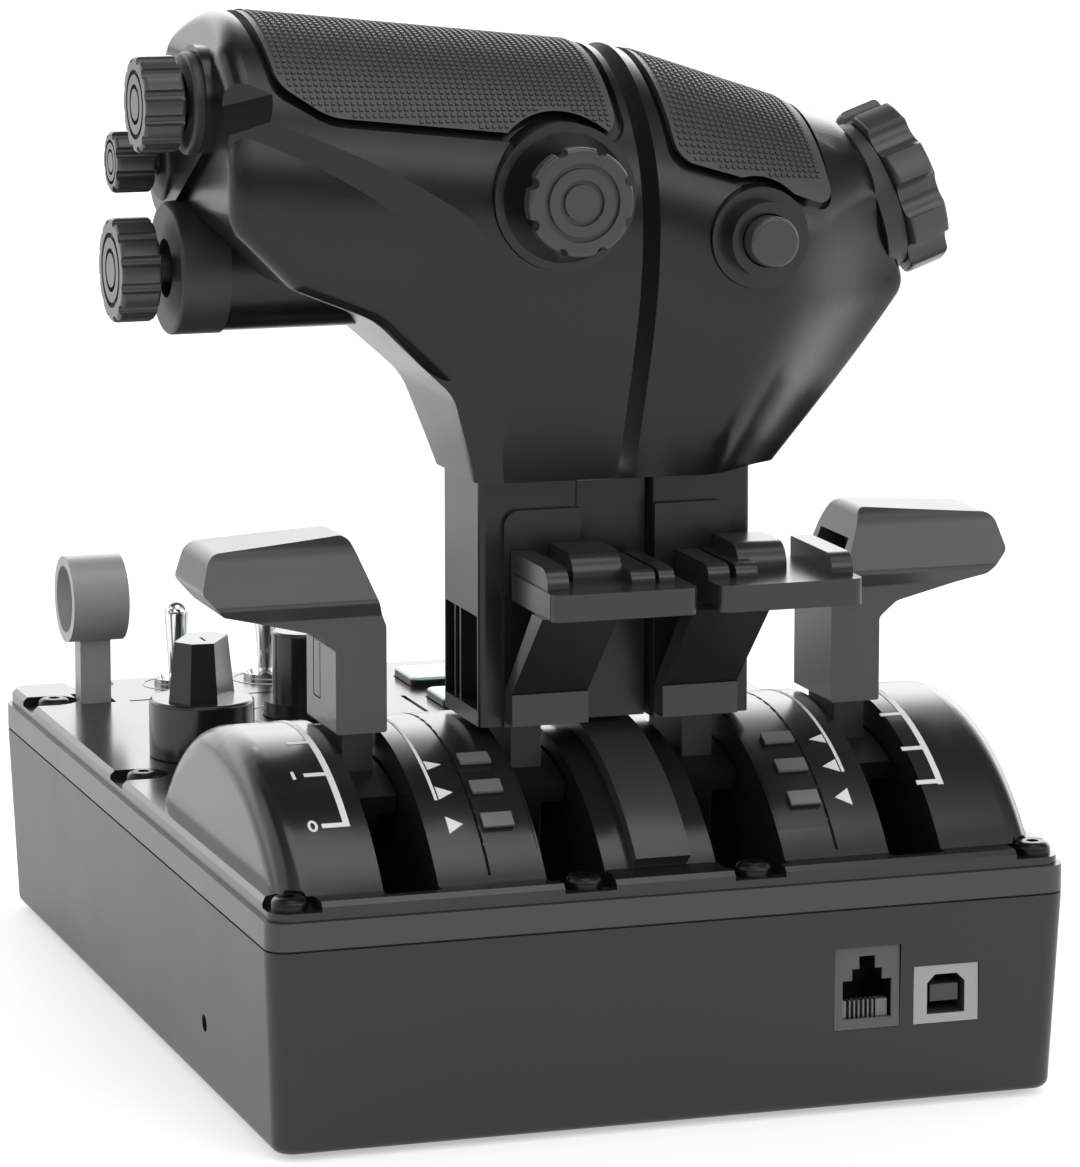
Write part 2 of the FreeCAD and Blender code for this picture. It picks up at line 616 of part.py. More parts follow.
def make_centre_rib():
    low = arc_height_angle(PLATE_TOP)
    return arc_strip(-RIB_HALF_WIDTH, RIB_HALF_WIDTH, ARCH_RADIUS - CENTRE_DROP, ARCH_RADIUS, -low, low)


def arc_height_angle(z):
    """How far from straight up the arch is when it meets a level."""
    return math.degrees(math.acos((z - AXIS_Z) / (ARCH_RADIUS - CENTRE_DROP))) - 0.3


def make_detent_strip(side):
    strip = arc_strip(STRIP_INNER_X, STRIP_OUTER_X, ARCH_RADIUS - STRIP_THICKNESS, ARCH_RADIUS, -STRIP_HALF_ANGLE,
                      STRIP_HALF_ANGLE)
    bars = [arc_strip(BAR_INNER_X, BAR_OUTER_X, ARCH_RADIUS - STRIP_THICKNESS / 2, ARCH_RADIUS + BAR_HEIGHT,
                      angle - BAR_HALF_ANGLE, angle + BAR_HALF_ANGLE) for angle in BAR_ANGLES]
    strip = union([strip, *bars])
    return strip if side > 0 else mirrored(strip)


# Shaft and what carries it

def make_lever_shaft():
    return rod_x(-SHAFT_HALF_LENGTH, SHAFT_HALF_LENGTH, AXIS_Y, AXIS_Z, SHAFT_RADIUS)


def make_shaft_brackets():
    brackets = []
    for x in BRACKET_XS:
        low = x - BRACKET_THICKNESS / 2
        foot = [Vector(low, AXIS_Y - BRACKET_HALF_BASE, FLOOR_TOP), Vector(low, AXIS_Y + BRACKET_HALF_BASE, FLOOR_TOP),
                Vector(low, AXIS_Y + BRACKET_HEAD_RADIUS, AXIS_Z), Vector(low, AXIS_Y - BRACKET_HEAD_RADIUS, AXIS_Z)]
        body = prism(foot, Vector(BRACKET_THICKNESS, 0, 0))
        body = union([body, rod_x(low, low + BRACKET_THICKNESS, AXIS_Y, AXIS_Z, BRACKET_HEAD_RADIUS)])
        brackets.append(body.cut(rod_x(low - 1, low + BRACKET_THICKNESS + 1, AXIS_Y, AXIS_Z, SHAFT_RADIUS)))
    return brackets


def hub_ranges():
    """The X range of each lever hub, on the +X side."""
    return [(low + RUN_GAP, high - RUN_GAP) for low, high in slot_ranges()]


def make_shaft_spacers():
    spacers = []
    half = BRACKET_THICKNESS / 2
    supports = [x for x in BRACKET_XS if x >= 0]
    for index, (low, high) in enumerate(hub_ranges()):
        gaps = ((supports[index] + half, low - SEAM_GAP), (high + SEAM_GAP, supports[index + 1] - half))
        for start, end in gaps:
            spacer = tube_x(start, end, AXIS_Y, AXIS_Z, SPACER_RADIUS, SHAFT_RADIUS)
            spacers += [spacer, mirrored(spacer)]
    return spacers


def make_friction_screw():
    start = -SHAFT_HALF_LENGTH - 5.0
    head = rod_x(start, -SHAFT_HALF_LENGTH, AXIS_Y, AXIS_Z, SHAFT_RADIUS)
    hexagon = [Vector(start - 1, AXIS_Y + HEX_RADIUS * math.cos(math.radians(60 * k)),
                      AXIS_Z + HEX_RADIUS * math.sin(math.radians(60 * k))) for k in range(6)]
    return head.cut(prism(hexagon, Vector(1 + 2 * HEX_DEPTH, 0, 0)))


def make_sensor_boards():
    boards = []
    half = BRACKET_THICKNESS / 2
    supports = [x for x in BRACKET_XS if x > 0]
    for x in supports:
        y = AXIS_Y + SPACER_RADIUS + 1
        board = box((x - half - BOARD_THICKNESS, x - half), (y, y + SENSOR_BOARD_WIDTH),
                    (FLOOR_TOP + 1, FLOOR_TOP + 1 + SENSOR_BOARD_HEIGHT))
        boards += [board, mirrored(board)]
    return boards


def panel_board_posts():
    inset = PANEL_BOARD_MARGIN
    return [(x, y) for x in (PANEL_BOARD_LEFT + inset, PANEL_BOARD_RIGHT - inset)
            for y in (PANEL_BOARD_FRONT + inset, PANEL_BOARD_BACK - inset)]


def make_panel_board():
    return box((PANEL_BOARD_LEFT, PANEL_BOARD_RIGHT), (PANEL_BOARD_FRONT, PANEL_BOARD_BACK),
               (PANEL_BOARD_TOP - BOARD_THICKNESS, PANEL_BOARD_TOP))


def main_board_posts():
    back = AXIS_Y - BRACKET_HALF_BASE - POST_RADIUS - 1
    front = -BASE_DEPTH / 2 + WALL + HOUSING_DRAFT + POST_RADIUS + 1
    return [(x, y) for x in (NETWORK_X - 14.0, USB_X + 12.0) for y in (front, back)]


def make_main_board():
    xs = (NETWORK_X - 19.0, USB_X + 17.0)
    front = -BASE_DEPTH / 2 + WALL + HOUSING_DRAFT
    return box(xs, (front, AXIS_Y - BRACKET_HALF_BASE), (BOARD_TOP - BOARD_THICKNESS, BOARD_TOP))


# Sockets

def socket_front():
    return -BASE_DEPTH / 2 + SOCKET_RECESS


def make_usb_socket():
    half = USB_WIDTH / 2
    front = socket_front()
    body = box((USB_X - half, USB_X + half), (front, front + USB_DEPTH), (BOARD_TOP, BOARD_TOP + USB_HEIGHT))
    centre = BOARD_TOP + USB_HEIGHT / 2
    side = USB_OPENING / 2
    corner = 1.6
    outline = [Vector(USB_X - side, front - 1, centre - side), Vector(USB_X + side, front - 1, centre - side),
               Vector(USB_X + side, front - 1, centre + side - corner),
               Vector(USB_X + side - corner, front - 1, centre + side),
               Vector(USB_X - side + corner, front - 1, centre + side),
               Vector(USB_X - side, front - 1, centre + side - corner)]
    body = body.cut(prism(outline, Vector(0, USB_DEPTH - 2, 0)))
    tongue = box((USB_X - 2.8, USB_X + 2.8), (front + 1, front + USB_DEPTH - 1), (centre - 1.6, centre + 1.6))
    return union([body, tongue])


def make_network_socket():
    half = NETWORK_WIDTH / 2
    front = socket_front()
    body = box((NETWORK_X - half, NETWORK_X + half), (front, front + NETWORK_DEPTH),
               (BOARD_TOP, BOARD_TOP + NETWORK_HEIGHT))
    low = BOARD_TOP + 2.0
    depth = NETWORK_DEPTH - 2.0
    steps = ((4.9, low, low + 7.4), (3.0, low + 7.4, low + 9.6), (1.6, low + 9.6, low + 12.0))
    cuts = [box((NETWORK_X - reach, NETWORK_X + reach), (front - 1, front + depth), (bottom, top + 0.01))
            for reach, bottom, top in steps]
    return body.cut(cuts)


# Lever arms

def make_arm(x, width, front, back, top):
    low = x - width / 2
    high = x + width / 2
    hub = rod_x(low, high, AXIS_Y, AXIS_Z, HUB_RADIUS)
    web = rod_x(x - FAN_WEB / 2, x + FAN_WEB / 2, AXIS_Y, AXIS_Z, FAN_RADIUS)
    web = web.common(wedge(-FAN_HALF_ANGLE, FAN_HALF_ANGLE, low, high))
    rim = arc_strip(low, high, FAN_RADIUS - FAN_RIM, FAN_RADIUS, -FAN_HALF_ANGLE, FAN_HALF_ANGLE)
    stem = box((x - STEM_WIDTH / 2, x + STEM_WIDTH / 2), (AXIS_Y - front, AXIS_Y + back), (AXIS_Z + STEM_ROOT, top))
    arm = union([hub, web, rim, stem])
    return arm.cut(rod_x(low - 1, high + 1, AXIS_Y, AXIS_Z, SHAFT_RADIUS + SHAFT_FIT))


def make_throttle_arm(side):
    width = THROTTLE_SLOT - 2 * RUN_GAP
    return make_arm(side * THROTTLE_X, width, STEM_FRONT, STEM_BACK, GRIP_BOTTOM + GRIP_SOCKET)


def make_outer_arm(side):
    width = OUTER_SLOT - 2 * RUN_GAP
    return make_arm(side * OUTER_X, width, OUTER_STEM_FRONT, OUTER_STEM_BACK, AXIS_Z + OUTER_STEM_TOP)


def stem_bore(x, front, back, low, high):
    """The space for a lever's stem, with its fit."""
    half = STEM_WIDTH / 2 + FIT_GAP
    return box((x - half, x + half), (AXIS_Y - front - FIT_GAP, AXIS_Y + back + FIT_GAP), (low, high))


# Throttle columns and finger lifts

def make_throttle_column(side):
    x = side * THROTTLE_X
    depth = COLUMN_FRONT + COLUMN_BACK
    centre_y = AXIS_Y + (COLUMN_BACK - COLUMN_FRONT) / 2
    column = rounded_block(COLUMN_WIDTH, depth, COLUMN_EDGE_RADIUS, COLUMN_BOTTOM, GRIP_BOTTOM, (x, centre_y))
    column = column.cut(stem_bore(x, STEM_FRONT, STEM_BACK, COLUMN_BOTTOM - 1, GRIP_BOTTOM + 1))
    if side < 0:
        inner = THROTTLE_X - COLUMN_WIDTH / 2
        fairing = box((-inner - 1, inner - FAIRING_GAP), (AXIS_Y - FAIRING_FRONT, AXIS_Y + FAIRING_BACK),
                      (COLUMN_BOTTOM, GRIP_BOTTOM - FAIRING_DROP))
        column = union([column, fairing])
    outer = side * (THROTTLE_X + COLUMN_WIDTH / 2)
    low = COLUMN_BOTTOM + WINDOW_BOTTOM
    front = AXIS_Y - COLUMN_FRONT + WINDOW_FRAME
    back = AXIS_Y + COLUMN_BACK - WINDOW_FRAME

    def from_outside(start, end):
        return (outer - side * start, outer - side * end)

    window = box(from_outside(-1, WINDOW_DEPTH), (front, back), (low, low + WINDOW_HEIGHT))
    third = (back - front) / 3
    ribs = [box(from_outside(1, WINDOW_DEPTH), (back - k * third / 2, back - k * third / 2 + 1),
                (low, low + WINDOW_HEIGHT)) for k in (1, 2)]
    hole = rod(Vector(outer, front + third, low + WINDOW_HEIGHT / 2), X_AXIS * -side, WINDOW_HOLE_RADIUS,
               WINDOW_DEPTH + 1.5)
    return union([column.cut([window, hole]), *ribs])


def guide_range(side):
    """The X range of a lift guide: its inner edge lies on the column's inner face."""
    inner = THROTTLE_X - COLUMN_WIDTH / 2
    return sorted((side * inner, side * (inner + GUIDE_WIDTH)))


def make_lift_guide(side):
    low, high = guide_range(side)
    front = AXIS_Y - COLUMN_FRONT
    top = AXIS_Z + GUIDE_TOP
    guide = box((low, high), (front - GUIDE_THICKNESS, front), (COLUMN_BOTTOM, top))
    outer = side * (THROTTLE_X - COLUMN_WIDTH / 2 + GUIDE_WIDTH)
    corner = [e for e in guide.Edges if abs(e.BoundBox.XMin - outer) < 1e-4 and abs(e.BoundBox.XMax - outer) < 1e-4
              and e.BoundBox.YLength > 1e-4 and abs(e.BoundBox.ZMin - top) < 1e-4]
    return guide.makeFillet(GUIDE_CORNER, corner)


def make_finger_lift(side):
    low, high = guide_range(side)
    back = AXIS_Y - COLUMN_FRONT - GUIDE_THICKNESS - SEAM_GAP
    foot_low = AXIS_Z + LIFT_FOOT_BOTTOM
    foot_top = foot_low + LIFT_FOOT_HEIGHT
    plate_top = AXIS_Z + LIFT_PLATE_TOP
    plate_low = plate_top - LIFT_PLATE
    front = AXIS_Y - LIFT_FRONT
    foot = box((low, high), (back - LIFT_FOOT_DEPTH, back), (foot_low, foot_top))
    web = prism([Vector(low, back, foot_top), Vector(low, back - LIFT_WEB, foot_top),
                 Vector(low, front + LIFT_WEB, plate_low), Vector(low, front + 2.5 * LIFT_WEB, plate_low)],
                Vector(high - low, 0, 0))
    left = low + (LIFT_OFFSET if side < 0 else 2 * LIFT_OFFSET + 2.0)
    centre = (left + LIFT_WIDTH / 2, (front + back) / 2)
    plate = rounded_block(LIFT_WIDTH, back - front, LIFT_CORNER, plate_low, plate_top, centre)
    raised = [lift_block(start, width, depth, height, left, front, back, plate_top)
              for start, width, depth, height in lift_blocks(side)]
    return union([foot, web, plate, *raised])


def lift_blocks(side):
    """What stands on a lift's plate: start from its left edge, width, depth from the column and height."""
    reach = LIFT_FRONT - COLUMN_FRONT - GUIDE_THICKNESS - SEAM_GAP
    ridge = reach - 4.5
    lump = LIFT_ROLLER_DEPTH + LIFT_LUMP_DEPTH
    if side < 0:
        return [(0.4, LIFT_RIDGE_WIDTH, ridge, LIFT_RIDGE_HEIGHT), (8.0, LIFT_ROLLER_WIDTH, LIFT_ROLLER_DEPTH, LIFT_ROLLER_HEIGHT),
                (4.6, 13.0, 8.0, LIFT_LEDGE_HEIGHT), (17.6, 4.6, lump, LIFT_LUMP_HEIGHT), (23.0, 3.0, lump, LIFT_LUMP_HEIGHT)]
    return [(23.6, LIFT_RIDGE_WIDTH, ridge, LIFT_RIDGE_HEIGHT), (8.0, LIFT_ROLLER_WIDTH, LIFT_ROLLER_DEPTH, LIFT_ROLLER_HEIGHT),
            (5.6, LIFT_RIDGE_WIDTH, lump, LIFT_LUMP_HEIGHT), (0.4, LIFT_RIDGE_WIDTH, lump - 1, LIFT_LUMP_HEIGHT)]


def lift_block(start, width, depth, height, left, front, back, plate_top):
    """A block on a lift's plate with a round front end."""
    block = box((left + start, left + start + width), (back - depth, back), (plate_top - 1, plate_top + height))
    return round_front_top(block, height * 0.85)


def round_front_top(block, radius):
    """Rounds a block's upper edge on the socket side."""
    box_ = block.BoundBox
    edge = [e for e in block.Edges if e.BoundBox.XLength > 1 and abs(e.BoundBox.YMin - box_.YMin) < 1e-4
            and abs(e.BoundBox.ZMin - box_.ZMax) < 1e-4]
    return block.makeFillet(radius, edge)


# Grips

def grip_point(x, y, z):
    """A point given from the shaft in Y and from the top of the columns in Z."""
    return Vector(x, AXIS_Y + y, GRIP_BOTTOM + z)


def grip_section(x, outset=0.0):
    """The side outline of the grips: a palm swell that leans over the columns."""
    points = [grip_point(x, *p) for p in (
        (-19.0, -8.0), (-31.2, 27.0), (-GRIP_FRONT, 46.0), (-33.4, 58.0), (-26.5, 68.8), (-12.5, 77.8),
        (2.0, GRIP_HEIGHT), (18.0, 73.5), (27.5, 56.0), (24.0, 33.0), (8.0, -8.0))]
    curve = Part.BSplineCurve()
    curve.interpolate(points)
    if outset:
        normals = [X_AXIS.cross(curve.tangent(curve.parameter(point))[0]) for point in points]
        points = [point + normal * outset for point, normal in zip(points, normals)]
        curve.interpolate(points)
    return Part.Wire([curve.toShape(), Part.makeLine(points[-1], points[0])])


def grip_sweep(side, outset=0.0):
    """The side outline carried out along the grip's sloping top."""
    start = side * GRIP_GAP / 2
    reach = (LEFT_REACH if side < 0 else RIGHT_REACH) + 4
    rise = reach * LEFT_SLOPE if side < 0 else -reach * RIGHT_SLOPE
    return Part.Face(grip_section(start, outset)).extrude(Vector(side * reach, 0, rise))


def grip_front_outline(side):
    """The outline from the front: the left half has the thumb arm, the right half ends at the dial."""
    inner = side * GRIP_GAP / 2
    small = 0.5
    top = 96.0
    low = -6.0
    if side < 0:
        corners = [(inner, low), (inner, top), (-70.0, top, 8.0), (-LEFT_REACH, 80.0, 6.0), (-LEFT_REACH, 50.0, 6.0),
                   (-66.0, 38.5, 6.0), (-50.0, 32.0, 16.0), (-34.0, 17.0, 10.0), (-27.0, low)]
    else:
        end_x, end_z = RIGHT_END
        corners = [(inner, low), (inner, top), (end_x - (top - end_z) * math.tan(math.radians(DIAL_TILT)), top),
                   (end_x, end_z, 5.0), (29.0, low)]
    face = rounded_profile(corners, small, lambda x, z: grip_point(x, -LEFT_REACH, z))
    return face.extrude(Vector(0, 2 * LEFT_REACH, 0))


def grip_front_y(x, z):
    """Where the palm swell's front stands at a place seen from the front."""
    level = z - LEFT_SLOPE * (abs(x) - GRIP_GAP / 2)
    profile = grip_section(0).Edges[0].discretize(120)
    front = [point for point in profile if point.y < AXIS_Y]
    return min(front, key=lambda point: abs(point.z - GRIP_BOTTOM - level)).y


def outside_panel():
    """The space beyond the slanting walls that frame the left grip's raised front panel."""
    spaces = []
    points = [Vector(x, grip_front_y(x, z), GRIP_BOTTOM + z) for x, z in PANEL_EDGE]
    for start, end in zip(points, points[1:]):
        along = (end - start).normalize()
        outward = Vector(along.z, 0, -along.x).normalize()
        outward = outward if outward.x < 0 else outward * -1
        fall = outward * PANEL_WALL + Y_AXIS * PANEL_RAISE
        normal = along.cross(fall).normalize()
        normal = normal if normal.dot(outward) > 0 else normal * -1
        across = normal.cross(along).normalize() * 3 * LEFT_REACH
        reach = along * 3 * LEFT_REACH
        middle = (start + end) * 0.5
        corners = [middle - reach - across, middle + reach - across, middle + reach + across, middle - reach + across]
        spaces.append(prism(corners, normal * 3 * LEFT_REACH))
    end_wall, arm_wall, neck_wall = spaces
    return end_wall.fuse(arm_wall).common(neck_wall)


def make_grip_block(side, outset=0.0):
    """The palm swell within its front outline, with its long edges rounded."""
    body = grip_sweep(side, outset).common(grip_front_outline(side))
    reach = 2 * LEFT_REACH
    body = body.cut(box((-reach, reach), (-reach, reach), (0, GRIP_BOTTOM)))
    palm = max(body.Faces, key=lambda face: face.Area)
    inner = side * GRIP_GAP / 2
    edges = [e for e in palm.Edges if abs(e.CenterOfMass.x - inner) > 0.1 and e.CenterOfMass.z > GRIP_BOTTOM + 2]
    return body.makeFillet(GRIP_EDGE_RADIUS, edges)


def make_grip_body(side):
    """One half of the palm grip. The left one has a raised panel towards the sockets."""
    body = make_grip_block(side)
    if side < 0:
        body = body.cut(outside_panel()).fuse(make_grip_block(side, -PANEL_RAISE)).removeSplitter()
    return body


def pad_prism(side, margin):
    """The field of a palm pad seen from the front, grown by a margin, and cut off over the crest."""
    inner = side * (GRIP_GAP / 2 + PAD_MARGIN - margin)
    top = 100.0
    if side < 0:
        corners = [(inner, top), (inner, 65.0 - margin, 4.0), (-24.0, 66.0 - margin, 20.0),
                   (-60.0, 70.0 - margin, 12.0), (-68.5 - margin, 76.0 - margin, 5.0), (-70.5 - margin, top)]
    else:
        corners = [(inner, top), (inner + 1.5, 60.5 - margin, 5.0), (23.0, 55.5 - margin, 20.0),
                   (37.0 + margin, 50.5 - margin, 2.5), (37.0 + margin, top)]
    front = -LEFT_REACH
    face = rounded_profile(corners, 0.5, lambda x, z: grip_point(x, front, z))
    return face.extrude(Vector(0, PAD_BACK + margin - front, 0))


def bezel_room(side):
    """The space that a pad leaves round the control in front of it."""
    place = bezel_face(STICK_X, STICK_HEIGHT) if side < 0 else bezel_face(BUTTON_X, BUTTON_HEIGHT)
    radius = STICK_BEZEL_RADIUS if side < 0 else BUTTON_BEZEL_RADIUS
    return rod(place - Y_AXIS * BEZEL_DEPTH, Y_AXIS, radius + PAD_GROOVE, 4 * BEZEL_DEPTH)


def make_grip_pad(side):
    """A textured rubber pad, set into the grip's front slope."""
    skin = grip_sweep(side, PAD_PROUD).cut(grip_sweep(side, -PAD_DEPTH))
    return skin.common(pad_prism(side, 0.0)).cut(bezel_room(side))


def pad_seat(side):
    """The room for a pad with the dark groove around it."""
    skin = grip_sweep(side, 2 * PAD_PROUD).cut(grip_sweep(side, -PAD_DEPTH))
    return skin.common(pad_prism(side, PAD_GROOVE))


def bezel_face(x, z):
    """Where the axis of a control in the grip's front meets its bezel's face."""
    return grip_point(x, -GRIP_FRONT - BEZEL_PROUD, z)


def make_hat_pod():
    """The oblong pod that carries the upper and middle thumb hats."""
    ends = [grip_point(-LEFT_REACH - HAT_POD_PROUD, hat[0], hat[1]) for hat in (UPPER_HAT, MIDDLE_HAT)]
    length = HAT_POD_PROUD + HAT_POD_REACH
    rods = [rod(end, X_AXIS, HAT_POD_RADIUS, length) for end in ends]
    side = X_AXIS.cross((ends[1] - ends[0]).normalize()) * HAT_POD_RADIUS
    bridge = prism([ends[0] + side, ends[1] + side, ends[1] - side, ends[0] - side], X_AXIS * length)
    return union([*rods, bridge])


def hat_seat_end(hat):
    """How far in the base of a thumb hat reaches."""
    return -POD_REACH if hat is LOWER_HAT else -LEFT_REACH + HAT_SEAT


def make_left_grip():
    pod = rod_x(-POD_REACH, -THUMB_POD_END, AXIS_Y + LOWER_HAT[0], GRIP_BOTTOM + LOWER_HAT[1], THUMB_POD_RADIUS)
    body = make_grip_body(-1).fuse([pod, make_hat_pod()])
    seats = [stem_bore(-THROTTLE_X, STEM_FRONT, STEM_BACK, GRIP_BOTTOM - 1, GRIP_BOTTOM + GRIP_SOCKET), pad_seat(-1),
             rod(bezel_face(STICK_X, STICK_HEIGHT), Y_AXIS, STICK_BEZEL_RADIUS + FIT_GAP, BEZEL_DEPTH + BEZEL_PROUD)]
    for hat in (UPPER_HAT, MIDDLE_HAT, LOWER_HAT):
        seats.append(rod_x(-2 * LEFT_REACH, hat_seat_end(hat), AXIS_Y + hat[0], GRIP_BOTTOM + hat[1], hat[2] + FIT_GAP))
    return body.cut(seats).removeSplitter()


def make_right_grip():
    seats = [stem_bore(THROTTLE_X, STEM_FRONT, STEM_BACK, GRIP_BOTTOM - 1, GRIP_BOTTOM + GRIP_SOCKET), pad_seat(1),
             rod(bezel_face(BUTTON_X, BUTTON_HEIGHT), Y_AXIS, BUTTON_BEZEL_RADIUS + FIT_GAP, BEZEL_DEPTH + BEZEL_PROUD),
             rod(dial_point(-DIAL_HUB_THICKNESS), DIAL_AXIS, DIAL_HUB_RADIUS + FIT_GAP, 3 * DIAL_HUB_THICKNESS)]
    return make_grip_body(1).cut(seats).removeSplitter()


# Controls on the grips

def make_gimbal(pivot, direction):
    """A small ring that lets a stick tilt both ways."""
    start = pivot - direction * (GIMBAL_THICKNESS / 2)
    ring = rod(start, direction, GIMBAL_OUTER, GIMBAL_THICKNESS)
    return ring.cut(rod(start - direction, direction, GIMBAL_INNER, GIMBAL_THICKNESS + 2))


def make_cap(pivot, out, reach, radius, thickness, notches):
    """A round cap on a stem, with small notches in its rim."""
    start = pivot - out * GIMBAL_THICKNESS * 0.6
    stem = rod(start, out, STICK_STEM_RADIUS, reach - thickness + GIMBAL_THICKNESS * 0.6)
    cap = rod(pivot + out * (reach - thickness), out, radius, thickness)
    cap = cap.makeFillet(CAP_EDGE_RADIUS, [e for e in cap.Edges if e.Length > radius * 6])
    across = out.cross(Z_AXIS) if abs(out.z) < 0.5 else out.cross(X_AXIS)
    up = across.cross(out)
    cuts = []
    for k in range(notches):
        turn = 2 * math.pi * (k + 0.5) / notches
        side = across * math.cos(turn) + up * math.sin(turn)
        cuts.append(rod(pivot + side * radius + out * (reach - thickness - 1), out, CAP_NOTCH_RADIUS, thickness + 2))
    cap = cap.cut(cuts)
    floor = pivot + out * (reach - CAP_DISH_DEPTH)
    for outer, inner in CAP_GROOVES:
        cap = cap.cut(rod(floor, out, radius * outer, 2 * CAP_DISH_DEPTH).cut(
            rod(floor - out, out, radius * inner, 4 * CAP_DISH_DEPTH)))
    return union([stem, cap])


def stick_pivot():
    return bezel_face(STICK_X, STICK_HEIGHT) + Y_AXIS * PIVOT_DEPTH


def make_stick_bezel():
    face = bezel_face(STICK_X, STICK_HEIGHT)
    bezel = rod(face, Y_AXIS, STICK_BEZEL_RADIUS, BEZEL_DEPTH + BEZEL_PROUD)
    dish = Part.makeCone(STICK_BEZEL_RADIUS - 1.6, STICK_BEZEL_RADIUS * 0.6, BEZEL_DISH_DEPTH, face, Y_AXIS)
    bore = rod(face, Y_AXIS, GIMBAL_OUTER + GIMBAL_CLEARANCE, BEZEL_DEPTH - 1)
    return bezel.cut([dish, bore])


def make_cursor_stick():
    return make_cap(stick_pivot(), -Y_AXIS, STICK_REACH + PIVOT_DEPTH, STICK_CAP_RADIUS, STICK_CAP_THICKNESS, 8)


def make_button_bezel():
    face = bezel_face(BUTTON_X, BUTTON_HEIGHT)
    plate = rod(face, Y_AXIS, BUTTON_BEZEL_RADIUS, BEZEL_DEPTH + BEZEL_PROUD)
    collar = rod(face - Y_AXIS * BUTTON_COLLAR_HEIGHT, Y_AXIS, BUTTON_COLLAR_RADIUS, BUTTON_COLLAR_HEIGHT + 1)
    bore = rod(face - Y_AXIS * (BUTTON_COLLAR_HEIGHT + 1), Y_AXIS, BUTTON_RADIUS + SEAM_GAP,
               BUTTON_COLLAR_HEIGHT + BEZEL_DEPTH)
    return union([plate, collar]).cut(bore)


def make_round_button():
    face = bezel_face(BUTTON_X, BUTTON_HEIGHT)
    button = rod(face - Y_AXIS * BUTTON_REACH, Y_AXIS, BUTTON_RADIUS, BUTTON_REACH + BUTTON_ROOT)
    front = face.y - BUTTON_REACH
    return button.makeFillet(CAP_EDGE_RADIUS, [e for e in button.Edges if abs(e.CenterOfMass.y - front) < 1e-4])


def dial_point(distance):
    """A point on the dial's axis, measured out from the grip's right end."""
    end_x, end_z = RIGHT_END
    x = end_x - (DIAL_HEIGHT - end_z) * math.tan(math.radians(DIAL_TILT))
    return grip_point(x, DIAL_Y, DIAL_HEIGHT) + DIAL_AXIS * distance


def make_dial_hub():
    hub = rod(dial_point(-DIAL_HUB_THICKNESS), DIAL_AXIS, DIAL_HUB_RADIUS, 2 * DIAL_HUB_THICKNESS)
    shaft = rod(dial_point(0), DIAL_AXIS, DIAL_SHAFT_RADIUS, DIAL_HUB_THICKNESS + DIAL_THICKNESS - 2)
    return union([hub, shaft])


def make_end_dial():
    """The dial on the right end, with finger scallops round its rim."""
    start = dial_point(DIAL_HUB_THICKNESS + SEAM_GAP)
    dial = rod(start, DIAL_AXIS, DIAL_RADIUS, DIAL_THICKNESS)
    dial = dial.makeFillet(DIAL_EDGE_RADIUS, [e for e in dial.Edges if e.Length > DIAL_RADIUS * 6])
    across = DIAL_AXIS.cross(Y_AXIS)
    cuts = []
    for k in range(DIAL_SCALLOPS):
        turn = 2 * math.pi * k / DIAL_SCALLOPS
        side = across * math.cos(turn) + Y_AXIS * math.sin(turn)
        place = start + side * (DIAL_RADIUS + DIAL_SCALLOP_RADIUS * 0.45) - DIAL_AXIS
        cuts.append(rod(place, DIAL_AXIS, DIAL_SCALLOP_RADIUS, DIAL_THICKNESS + 2))
    cuts.append(rod(start - DIAL_AXIS, DIAL_AXIS, DIAL_SHAFT_RADIUS + SHAFT_FIT, DIAL_THICKNESS - 1))
    return dial.cut(cuts)


def hat_face(hat):
    """The middle of the face of a thumb hat's base."""
    y, z, _, proud, _, _ = hat
    return grip_point(-LEFT_REACH - proud, y, z)


def hat_pivot(hat):
    return hat_face(hat) + X_AXIS * HAT_PIVOT_DEPTH


def make_hat_bases():
    bases = []
    for hat in (UPPER_HAT, MIDDLE_HAT, LOWER_HAT):
        face = hat_face(hat)
        end = hat_seat_end(hat)
        base = rod(face, X_AXIS, hat[2], end - face.x)
        base = base.makeFillet(CAP_EDGE_RADIUS, [e for e in base.Edges if e.BoundBox.XLength < 1e-4 and
                                                 abs(e.BoundBox.XMin - face.x) < 1e-4])
        bore = STICK_STEM_RADIUS + SEAM_GAP if hat is MIDDLE_HAT else GIMBAL_OUTER + GIMBAL_CLEARANCE
        depth = end - face.x - 1.0
        bases.append(base.cut(rod(face - X_AXIS, X_AXIS, bore, depth + 1)))
    return bases


def make_hat(hat, notches):
    _, _, _, _, radius, gap = hat
    return make_cap(hat_pivot(hat), -X_AXIS, HAT_PIVOT_DEPTH + gap + HAT_THICKNESS, radius, HAT_THICKNESS, notches)


# Outer levers

